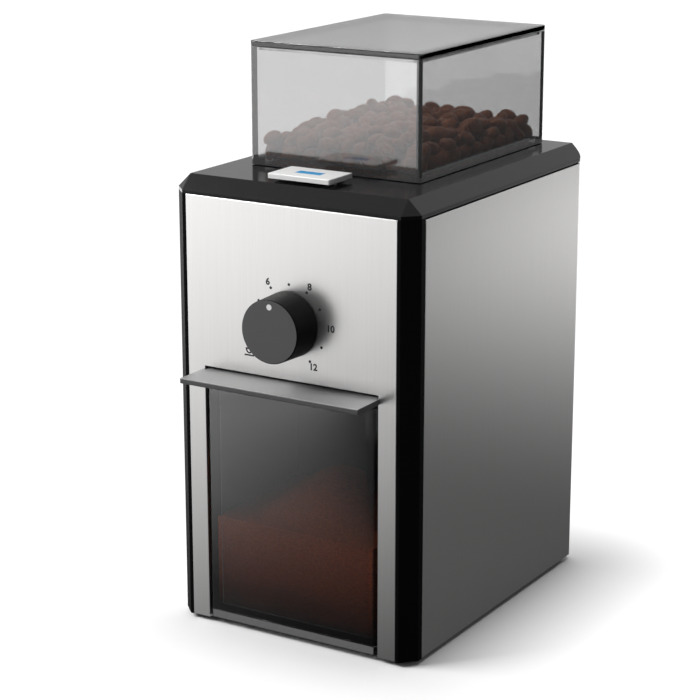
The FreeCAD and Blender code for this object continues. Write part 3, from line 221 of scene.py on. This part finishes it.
def crownFront(material):
    # the polished outside of the drawer's front is a flat pillow, which pulls its reflections up and aside
    tree = material.node_tree
    shader = tree.nodes["Principled BSDF"]
    shader.inputs["Coat IOR"].default_value = drawerFront["coatIor"]
    shader.inputs["Coat Roughness"].default_value = drawerFront["coatRough"]
    skin = addNode(tree, "NewGeometry").outputs
    facing = addNode(tree, "SeparateXYZ", {"Vector": skin["True Normal"]})
    front = addNode(tree, "Math", {0: facing.outputs["Y"], 1: drawerFront["facing"]}, operation="LESS_THAN")
    outside = addNode(tree, "Math", {0: front.outputs[0], 1: skin["Backfacing"]}, operation="SUBTRACT",
                      use_clamp=True)
    spot = addNode(tree, "TexCoord").outputs["Object"]
    up = addNode(tree, "SeparateXYZ", {"Vector": spot}).outputs["Z"]
    dulled = addNode(tree, "MapRange", dict(drawerFront["dulled"], Value=up))  # painted shade: the coat thins low down, for the shadowed floor near the foot that it would mirror
    polish = addNode(tree, "Math", {0: outside.outputs[0], 1: dulled.outputs[0]}, operation="MULTIPLY")
    wide, tall = [math.sqrt(slope / (2 * half * mm)) for slope, half in
                  zip(drawerFront["slopes"], drawerFront["halves"])]
    pillow = addNode(tree, "Mapping", {"Vector": spot, "Scale": (wide, 0, tall),
                                       "Location": (0, 0, -drawerFront["height"] * mm * tall)}).outputs[0]
    bulge = addNode(tree, "VectorMath", {0: pillow, 1: pillow}, operation="DOT_PRODUCT")
    curve = addNode(tree, "Bump", {"Height": bulge.outputs["Value"], "Strength": 1.0, "Distance": 1.0},
                    invert=True)
    tree.links.new(polish.outputs[0], shader.inputs["Coat Weight"])
    tree.links.new(curve.outputs["Normal"], shader.inputs["Coat Normal"])


crownFront(smokedContainer)

slotFinish = {
    "black_plastic": satinBlackAbs, "gloss_black": glossBlackAbs, "brushed_steel": brushedStainless,
    "smoked_clear": smokedHopper, "white_plastic": whiteAbs, "blue_clear": blueLens, "rubber": blackRubber,
    "zinc_steel": zincSteel, "tool_steel": groundSteel, "bronze": sinteredBronze, "grey_plastic": greyNylon,
    "white_acetal": whiteAcetal, "copper": turnedCopper, "carbon": pressedCarbon, "ferrite": sinteredFerrite,
    "iron_core": laminatedIron, "board": circuitLaminate,
}
ownFinish = {"hopper_lid": smokedLid, "container": smokedContainer, "container_lid": smokedLip,
             "quantity_knob": knobAbs}  # nodes that differ from the rest of their slot
nodeSlot = {s["node"]: s["material_slot"] for s in frame["record"]["subparts"]}


def finishOf(nodeName):
    return ownFinish.get(nodeName, slotFinish[nodeSlot[nodeName]])


for nodeName, cadNode in frame["nodes"].items():
    cadNode.data.materials.clear()
    cadNode.data.materials.append(finishOf(nodeName))
print("finishes on the CAD nodes")


def deselect():
    if bpy.context.object and bpy.context.object.mode != "OBJECT":
        bpy.ops.object.mode_set(mode="OBJECT")
    bpy.ops.object.select_all(action="DESELECT")


def makeActive(piece):
    deselect()
    piece.select_set(True)
    bpy.context.view_layer.objects.active = piece


def applyModifier(piece, kind, **settings):
    makeActive(piece)
    modifier = piece.modifiers.new(kind.lower(), kind)
    for key, value in settings.items():
        setattr(modifier, key, value)
    bpy.ops.object.modifier_apply(modifier=modifier.name)


def joinPieces(pieces, name):
    deselect()
    for piece in pieces:
        piece.select_set(True)
    bpy.context.view_layer.objects.active = pieces[0]
    bpy.ops.object.join()
    joined = bpy.context.object
    joined.name = name
    bpy.ops.object.transform_apply()
    return joined


def dress(piece, body, finish):
    piece.data.materials.clear()
    piece.data.materials.append(finish)
    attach(piece, body)


# visible mouldings get the small edge radius that the solids leave out, in mm
edgeRadius = {
    "front_panel": 0.25, "left_panel": 0.25, "right_panel": 0.25, "top_frame": 0.35, "main_housing": 0.4,
    "hopper": 0.35, "hopper_lid": 0.35, "container": 0.4, "container_lid": 0.2, "button_cap": 0.2,
    "light_guide": 0.1, "quantity_knob": 0.3, "rear_cover": 0.3, "wheel_bezel": 0.2, "base_plate": 0.3,
}
softEdge = {"merge": 0.002, "flatAngle": 0.5, "edgeAngle": 18, "segments": 2}  # mm and degrees


def copyNode(nodeName, ending):
    # a merged copy that takes the CAD node's place, on the same body
    cadNode = frame["nodes"][nodeName]
    piece = bpy.data.objects.new(nodeName + ending, cadNode.data.copy())
    scene.collection.objects.link(piece)
    makeActive(piece)
    bpy.ops.object.mode_set(mode="EDIT")
    bpy.ops.mesh.select_all(action="SELECT")
    bpy.ops.mesh.remove_doubles(threshold=softEdge["merge"] * mm)
    bpy.ops.object.mode_set(mode="OBJECT")
    bpy.ops.object.shade_smooth()
    dress(piece, cadNode["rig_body"], finishOf(nodeName))
    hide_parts(nodeName)
    return piece


def flattenFaces(piece):
    applyModifier(piece, "WEIGHTED_NORMAL", weight=100, keep_sharp=False)  # keeps large faces flat to the eye


def softenEdges(nodeName, radius):
    piece = copyNode(nodeName, "Soft")
    bpy.ops.object.mode_set(mode="EDIT")
    bpy.ops.mesh.dissolve_limited(angle_limit=math.radians(softEdge["flatAngle"]))
    bpy.ops.object.mode_set(mode="OBJECT")
    applyModifier(piece, "BEVEL", width=radius * mm, segments=softEdge["segments"], limit_method="ANGLE",
                  angle_limit=math.radians(softEdge["edgeAngle"]))
    flattenFaces(piece)


for nodeName, radius in edgeRadius.items():
    softenEdges(nodeName, radius)
print("edges softened on", len(edgeRadius), "mouldings")


def secondFinish(nodeName, finish, wanted, cutHeight=None):
    # some faces of a moulding differ from the rest; a larger face is split first at a height in mm
    piece = bpy.data.objects[nodeName + "Soft"]
    makeActive(piece)
    if cutHeight:
        bpy.ops.object.mode_set(mode="EDIT")
        bpy.ops.mesh.select_all(action="SELECT")
        bpy.ops.mesh.bisect(plane_co=(0, 0, cutHeight * mm), plane_no=(0, 0, 1))
        bpy.ops.object.mode_set(mode="OBJECT")
        flattenFaces(piece)
    piece.data.materials.append(finish)
    for face in piece.data.polygons:
        face.material_index = 1 if wanted(face) else 0


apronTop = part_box("container")[0].z / mm + 3.9  # the strip under the drawer's floor, in mm
hopperFlange = (205.0, 208.9)  # heights in mm; it lies on a black seal, so no light comes back from it
facesFront, facesFlat, facesUp = -0.95, 0.9, 0.5  # limits for a face normal along an axis
lipEdge = (0.75, 0.95)  # such faces of the lip are neither its top nor its underside
# the knob's face takes the lit copy of its black: painted light where the key lamp falls
secondFinish("quantity_knob", turnedAbs, lambda face: face.normal.y < facesFront)
# the light guide's sides are black: painted shade under the button cap, where its glow would otherwise show
secondFinish("light_guide", satinBlackAbs, lambda face: face.normal.z < facesUp)
secondFinish("container", apronAbs,
             lambda face: face.normal.y < facesFront and face.center.z < apronTop * mm, apronTop)
secondFinish("hopper", satinBlackAbs, lambda face: abs(face.normal.z) > facesFlat
             and hopperFlange[0] < face.center.z / mm < hopperFlange[1])
secondFinish("container_lid", styreneEdge,
             lambda face: face.normal.z < lipEdge[0] and abs(face.normal.z) < lipEdge[1])
print("knob face, window, drawer apron, hopper flange and lip edge finished")


buttonSpring = {"node": "button_spring", "joint": "start_button_press", "travel": 1.25}  # travel in mm


def coilSpring():
    # a copy of the coil, with a mesh of its own, takes the CAD spring's place under the button, on the board
    # that it stands on
    piece = copyNode(buttonSpring["node"], "Coil")
    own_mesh(piece)


coilSpring()
print("button spring wound")


# sizes and heights in mm, spreads of the turns in radians
beanHeap = {
    "length": 10.6, "width": 8.0, "thickness": 6.0, "creaseBand": 0.2, "creaseFrom": 0.5, "creaseDepth": 0.28,
    "ball": 3.4, "settle": 0.8, "nestle": 0.84, "ragged": (-2.5, 1.5), "level": 221.5,
    "tries": 9, "misses": 60, "most": 1000, "seed": 7,
    "roll": 0.8, "pitch": 0.4, "alongWall": 0.15, "growth": (0.9, 1.08),
    "wall": 3.0, "gap": 0.3, "ledge": 208.4, "edgeStep": 9.4, "edgeBand": 5.5,
    "spigot": (37.3, 52.5, 198.4), "outlet": (10.0, 16.1, 187.4), "neck": 177.0, "neckRim": -0.12,
}


def beanMesh():
    deselect()
    bpy.ops.mesh.primitive_uv_sphere_add(segments=10, ring_count=6, radius=0.5 * mm,
                                         rotation=(0, math.pi / 2, 0))
    bean = bpy.context.object
    bpy.ops.object.transform_apply(location=False, rotation=True)
    bpy.ops.object.mode_set(mode="EDIT")
    bpy.ops.mesh.select_all(action="SELECT")
    bpy.ops.transform.resize(value=(beanHeap["length"], beanHeap["width"], beanHeap["thickness"]))
    bpy.ops.mesh.select_all(action="DESELECT")
    bpy.ops.object.mode_set(mode="OBJECT")
    band, top = beanHeap["creaseBand"] * mm, beanHeap["creaseFrom"] * mm
    for vertex in bean.data.vertices:  # the crease runs along the middle of one face
        vertex.select = abs(vertex.co.y) < band and vertex.co.z > top
    bpy.ops.object.mode_set(mode="EDIT")
    bpy.ops.transform.translate(value=(0, 0, -beanHeap["creaseDepth"] * beanHeap["thickness"] * mm))
    bpy.ops.object.mode_set(mode="OBJECT")
    return bean


def hopperFloor(x, y, middle):
    # ledge round the edge, then the funnel down to the outlet neck; all in mm
    halfX, halfY, rim = beanHeap["spigot"]
    half, outletY, throat = beanHeap["outlet"]
    if abs(x) > halfX - beanHeap["ball"] or abs(y - middle) > halfY - beanHeap["ball"]:
        return beanHeap["ledge"]
    out = max((abs(x) - half) / (halfX - half), (y - outletY - half) / (middle + halfY - outletY - half),
              (outletY - half - y) / (outletY - half - middle + halfY))
    if out < 0:
        return beanHeap["neck"] if out < beanHeap["neckRim"] else throat
    return throat + (rim - throat) * out


def ledgeRow(low, high):
    # a row of beans along the walls, on the ledge
    inset = beanHeap["wall"] + beanHeap["gap"] + beanHeap["width"] / 2
    z = beanHeap["ledge"] + beanHeap["ball"] * beanHeap["settle"]
    sizes = [high[axis] - low[axis] - 2 * inset for axis in (0, 1)]
    counts = [int(size / beanHeap["edgeStep"]) for size in sizes]
    row = []
    for i in range(counts[0] + 1):
        x = low.x + inset + sizes[0] * i / counts[0]
        row += [(x, low.y + inset, z), (x, high.y - inset, z)]
    for i in range(1, counts[1]):
        y = low.y + inset + sizes[1] * i / counts[1]
        row += [(low.x + inset, y, z), (high.x - inset, y, z)]
    return row


def dropBeans(draw, low, high, placed, top):
    # each bean falls as a ball on those below; the lowest of a few tries stays
    ball = beanHeap["ball"]
    edge = beanHeap["wall"] + ball
    middle = (low.y + high.y) / 2
    misses = 0
    while len(placed) < beanHeap["most"] and misses < beanHeap["misses"]:
        best = None
        for attempt in range(beanHeap["tries"]):
            x = draw.uniform(low.x + edge, high.x - edge)
            y = draw.uniform(low.y + edge, high.y - edge)
            z = hopperFloor(x, y, middle) + ball * beanHeap["settle"]
            for px, py, pz in placed:
                flat = (px - x) ** 2 + (py - y) ** 2
                if flat < 4 * ball * ball:
                    z = max(z, pz + beanHeap["nestle"] * math.sqrt(4 * ball * ball - flat))
            level = top + draw.uniform(*beanHeap["ragged"])
            if z + ball < level and (best is None or z < best[2]):
                best = (x, y, z)
        if best is None:
            misses += 1
        else:
            misses = 0
            placed.append(best)


def fillHopper():
    draw = random.Random(beanHeap["seed"])
    low, high = [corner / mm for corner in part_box("hopper")]
    middle = (low + high) / 2
    box = [high[axis] - middle[axis] - beanHeap["wall"] for axis in (0, 1)]
    bean = beanMesh()
    corners = [v.co.copy() for v in bean.data.vertices]
    copies = []
    placed = []
    dropBeans(draw, low, high, placed, beanHeap["ledge"] + beanHeap["ball"])  # the funnel fills first
    placed += ledgeRow(low, high)
    dropBeans(draw, low, high, placed, beanHeap["level"])
    for spot in placed:
        copy = bean.copy()
        copy.data = bean.data.copy()
        scene.collection.objects.link(copy)
        room = box if spot[2] > beanHeap["ledge"] else beanHeap["spigot"]  # clear half widths round the bean
        away = [spot[axis] - middle[axis] for axis in (0, 1)]
        byWall = [room[axis] - abs(away[axis]) < beanHeap["edgeBand"] for axis in (0, 1)]
        yaw = draw.uniform(0, 2 * math.pi)
        if byWall[0] or byWall[1]:  # a bean by a wall lies along it
            yaw = draw.gauss(0, beanHeap["alongWall"]) + (math.pi / 2 if byWall[0] else 0)
        roll = draw.gauss(0, beanHeap["roll"]) + math.pi * draw.randint(0, 1)  # either face up
        turn = Euler((roll, draw.gauss(0, beanHeap["pitch"]), yaw))
        grow = draw.uniform(*beanHeap["growth"])
        reach = [max(abs((turn.to_matrix() @ c)[axis]) for c in corners) * grow / mm + beanHeap["gap"]
                 for axis in (0, 1)]
        place = [middle[axis] + min(max(away[axis], reach[axis] - room[axis]), room[axis] - reach[axis])
                 for axis in (0, 1)]
        copy.location = Vector((place[0], place[1], spot[2])) * mm
        copy.rotation_euler = turn
        copy.scale = (grow, grow, grow)
        copies.append(copy)
    bpy.data.objects.remove(bean)
    heap = joinPieces(copies, "coffeeBeans")
    bpy.ops.object.shade_smooth()
    dress(heap, "hopper", roastedBean)
    print("beans:", len(copies))


fillHopper()


# in mm; the peak stands at a share of the depth, counted from the front
groundsHeap = {"gap": 0.35, "wall": 3.0, "floor": 9.7, "front": 51.0, "rise": 18.0, "spread": 40.0,
               "peak": 0.6, "cuts": 40}


def fillContainer():
    low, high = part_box("container")
    gap = (groundsHeap["wall"] + groundsHeap["gap"]) * mm
    floor = groundsHeap["floor"] * mm
    top = groundsHeap["front"] * mm
    deselect()
    bpy.ops.mesh.primitive_cube_add(size=1)
    heap = bpy.context.object
    heap.name = "groundCoffee"
    heap.scale = (high.x - low.x - 2 * gap, high.y - low.y - 2 * gap, top - floor)
    heap.location = ((low.x + high.x) / 2, (low.y + high.y) / 2, (top + floor) / 2)
    bpy.ops.object.transform_apply()
    bpy.ops.object.mode_set(mode="EDIT")
    bpy.ops.mesh.select_all(action="DESELECT")
    bpy.ops.object.mode_set(mode="OBJECT")
    for face in heap.data.polygons:
        face.select = face.normal.z > facesUp
    bpy.ops.object.mode_set(mode="EDIT")
    bpy.ops.mesh.subdivide(number_cuts=groundsHeap["cuts"])
    bpy.ops.mesh.select_all(action="DESELECT")
    bpy.ops.object.mode_set(mode="OBJECT")
    peak = Vector(((low.x + high.x) / 2, low.y + groundsHeap["peak"] * (high.y - low.y), top))
    nearest = min(heap.data.vertices, key=lambda v: (v.co - peak).length)
    nearest.select = True
    bpy.ops.object.mode_set(mode="EDIT")
    bpy.ops.transform.translate(value=(0, 0, groundsHeap["rise"] * mm), use_proportional_edit=True,
                                proportional_edit_falloff="SMOOTH",
                                proportional_size=groundsHeap["spread"] * mm)
    bpy.ops.object.mode_set(mode="OBJECT")
    dress(heap, "container", groundCoffee)


fillContainer()
print("grounds in the container")


# in mm, with the angles in degrees from straight up
dialMarks = {"axisHeight": 145.5, "dotRing": 17.9, "dotRadius": 0.65, "numberRing": 20.8, "numberSize": 4.1,
             "dots": (-60, -31, 0, 30, 60, 115, 144.5), "numbers": {"6": -31, "8": 30, "10": 87, "12": 144.5},
             "thickness": 0.03, "raised": 0.01, "weight": 0.15, "cup": (-20.7, 132.6), "cupSize": (3.8, 2.6),
             "stroke": 0.7, "saucer": 4.9}


def dialSpot(angle, ring):
    turn = math.radians(angle)
    return ring * math.sin(turn) * mm, (dialMarks["axisHeight"] + ring * math.cos(turn)) * mm


def cupMark(face):
    # small cup over a saucer line: the outline of half a disc, and a flat bar under it
    x, z = dialMarks["cup"]
    wide, tall = dialMarks["cupSize"]
    stroke = dialMarks["stroke"]
    deselect()
    bpy.ops.mesh.primitive_circle_add(vertices=28, radius=0.5, fill_type="NGON",
                                      location=(x * mm, face, z * mm), rotation=(math.pi / 2, 0, 0))
    cup = bpy.context.object
    cup.scale = (wide * mm, 2 * tall * mm, 1)
    bpy.ops.object.transform_apply()
    bpy.ops.object.mode_set(mode="EDIT")
    bpy.ops.mesh.select_all(action="SELECT")
    bpy.ops.mesh.bisect(plane_co=(x * mm, face, z * mm), plane_no=(0, 0, 1), use_fill=False, clear_outer=True)
    bpy.ops.mesh.select_all(action="SELECT")
    bpy.ops.mesh.inset(thickness=stroke * mm)
    bpy.ops.mesh.delete(type="FACE")
    bpy.ops.object.mode_set(mode="OBJECT")
    deselect()
    bpy.ops.mesh.primitive_plane_add(size=1, location=(x * mm, face, (z - tall - stroke) * mm),
                                     rotation=(math.pi / 2, 0, 0))
    saucer = bpy.context.object
    saucer.scale = (dialMarks["saucer"] * mm, stroke * mm, 1)
    bpy.ops.object.transform_apply()
    for mark in (cup, saucer):
        applyModifier(mark, "SOLIDIFY", thickness=dialMarks["thickness"] * mm, offset=0)
    return [cup, saucer]


def printDial():
    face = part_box("front_panel")[0].y - dialMarks["raised"] * mm
    marks = []
    deselect()
    for angle in dialMarks["dots"]:
        x, z = dialSpot(angle, dialMarks["dotRing"])
        bpy.ops.mesh.primitive_cylinder_add(
            vertices=20, radius=dialMarks["dotRadius"] * mm, depth=dialMarks["thickness"] * mm,
            location=(x, face, z), rotation=(math.pi / 2, 0, 0))
        marks.append(bpy.context.object)
    for text, angle in dialMarks["numbers"].items():
        x, z = dialSpot(angle, dialMarks["numberRing"])
        bpy.ops.object.text_add(location=(x, face, z), rotation=(math.pi / 2, 0, 0))
        number = bpy.context.object
        number.data.body = text
        number.data.size = dialMarks["numberSize"] * mm
        number.data.align_x = "CENTER"
        number.data.align_y = "CENTER"
        number.data.extrude = dialMarks["thickness"] / 2 * mm
        number.data.offset = dialMarks["weight"] * mm
        bpy.ops.object.convert(target="MESH")
        marks.append(bpy.context.object)
    marks += cupMark(face)
    dial = joinPieces(marks, "dialPrint")
    dress(dial, "housing", printedInk)


printDial()
print("dial printed")


# in metres; glows and fades run across the floor, and the sky from the horizon up
studio = {"floorSize": 6.0, "paper": "#f4f4f4", "bounce": "#a0a0a0", "paperGlow": 1.1, "fill": 0.1,
          "footprint": (0.06, 0.078, 0),
          "shadow": {"From Min": 0.0, "From Max": 0.06, "To Min": 0.0, "To Max": 1.0},
          "leftGlow": {"From Min": 0.16, "From Max": -0.5, "To Min": 0.0, "To Max": 1.3},
          "farGlow": {"From Min": -0.55, "From Max": -0.75, "To Min": 0.0, "To Max": 0.6},
          "rearGlow": {"From Min": 0.13, "From Max": 1.15, "To Min": 0.08, "To Max": 1.65},
          "rightFade": {"From Min": 0.5, "From Max": 0.575, "To Min": 1.0, "To Max": 0.0},
          "sky": {"From Min": 0.1, "From Max": 0.6, "To Min": 0.55, "To Max": 1.4},
          "lamps": (("keyLamp", (-1.1, -0.8, 1.2), 0.8, 34), ("topLamp", (-0.1, 0.5, 1.65), 1.4, 14)),
          "lampAim": (0, 0, 0.12),
          "cameraPlace": (0.4847, -0.8188, 0.3829), "cameraTurn": (74.41, 0, 31.31),  # turn in degrees
          "lens": 111.0, "sensor": 36}


def rayKinds(tree):
    # what the camera sees itself or by way of gloss and clear walls, and what of that is mirrored
    path = addNode(tree, "LightPath").outputs
    seen = addNode(tree, "Math", {0: path["Diffuse Depth"], 1: 0.5}, operation="LESS_THAN").outputs[0]
    mirrored = addNode(tree, "Math", {0: path["Glossy Depth"], 1: seen}, operation="MULTIPLY", use_clamp=True)
    return seen, mirrored.outputs[0]


def layFloor():
    deselect()
    bpy.ops.mesh.primitive_plane_add(size=studio["floorSize"])
    floor = bpy.context.object
    floor.name = "studioFloor"
    material, tree, shader = newMaterial("paperFloor", {"Roughness": 0.9, "Specular IOR Level": 0.0})
    spot = addNode(tree, "TexCoord").outputs["Object"]
    seen, mirrored = rayKinds(tree)
    paper = addNode(tree, "MixRGB", {"Fac": seen, "Color1": linearColour(studio["bounce"]),
                                     "Color2": linearColour(studio["paper"])})
    tree.links.new(paper.outputs["Color"], shader.inputs["Base Color"])
    # white paper that keeps the shadow close round the grinder's foot
    side = addNode(tree, "VectorMath", {0: spot}, operation="ABSOLUTE")
    past = addNode(tree, "VectorMath", {0: side.outputs[0], 1: studio["footprint"]}, operation="SUBTRACT")
    clear = addNode(tree, "VectorMath", {0: past.outputs[0], 1: (0, 0, 0)}, operation="MAXIMUM")
    away = addNode(tree, "VectorMath", {0: clear.outputs[0]}, operation="LENGTH")
    share = addNode(tree, "MapRange", dict(studio["shadow"], Value=away.outputs["Value"]))
    # what gloss mirrors: painted glow and shade on the floor, seen only in reflections: bright on the left
    # and behind, dark in front and on the far right
    across = addNode(tree, "SeparateXYZ", {"Vector": spot}).outputs
    left, beyond, rear, fade = [
        addNode(tree, "MapRange", dict(studio[band], Value=across[axis]), interpolation_type="SMOOTHSTEP")
        for band, axis in (("leftGlow", "X"), ("farGlow", "X"), ("rearGlow", "Y"), ("rightFade", "X"))]
    west = addNode(tree, "Math", {0: left.outputs[0], 1: beyond.outputs[0]}, operation="ADD")
    east = addNode(tree, "Math", {0: rear.outputs[0], 1: fade.outputs[0]}, operation="MULTIPLY")
    glow = addNode(tree, "Math", {0: west.outputs[0], 1: east.outputs[0]}, operation="MAXIMUM")
    plain = addNode(tree, "Math", {0: seen, 1: share.outputs[0]}, operation="MULTIPLY")
    level = addNode(tree, "Math", {0: plain.outputs[0], 1: mirrored}, operation="MAXIMUM")
    strength = addNode(tree, "Mix", {"Factor": mirrored, "A": studio["paperGlow"], "B": glow.outputs[0]})
    white = addNode(tree, "Emission", {"Color": (1, 1, 1, 1), "Strength": strength.outputs[0]})
    both = addNode(tree, "MixShader", {0: level.outputs[0], 1: shader.outputs[0], 2: white.outputs[0]})
    tree.links.new(both.outputs[0], tree.nodes["Material Output"].inputs["Surface"])
    floor.data.materials.append(material)


def hangSky():
    world = bpy.data.worlds.new("paleRoom")
    scene.world = world
    world.use_nodes = True
    tree = world.node_tree
    background = tree.nodes["Background"]
    background.inputs["Color"].default_value = (1, 1, 1, 1)
    seen, mirrored = rayKinds(tree)
    level = addNode(tree, "MapRange", {"Value": seen, "To Min": studio["fill"], "To Max": 1.0})
    up = addNode(tree, "SeparateXYZ", {"Vector": addNode(tree, "TexCoord").outputs["Generated"]}).outputs["Z"]
    sky = addNode(tree, "MapRange", dict(studio["sky"], Value=up))
    strength = addNode(tree, "Mix", {"Factor": mirrored, "A": level.outputs[0], "B": sky.outputs[0]})
    tree.links.new(strength.outputs[0], background.inputs["Strength"])


def placeLamps():
    for name, place, size, power in studio["lamps"]:
        deselect()
        bpy.ops.object.light_add(type="AREA", location=place)
        lamp = bpy.context.object
        lamp.name = name
        lamp.data.size = size
        lamp.data.energy = power
        lamp.rotation_euler = (Vector(studio["lampAim"]) - Vector(place)).to_track_quat("-Z", "Y").to_euler()


def placeCamera():
    bpy.ops.object.camera_add(location=studio["cameraPlace"],
                              rotation=[math.radians(a) for a in studio["cameraTurn"]])
    camera = bpy.context.object
    camera.data.lens = studio["lens"]
    camera.data.sensor_width = studio["sensor"]
    scene.camera = camera


layFloor()
hangSky()
placeLamps()
placeCamera()
scene.view_settings.view_transform = "Standard"
print("studio built")
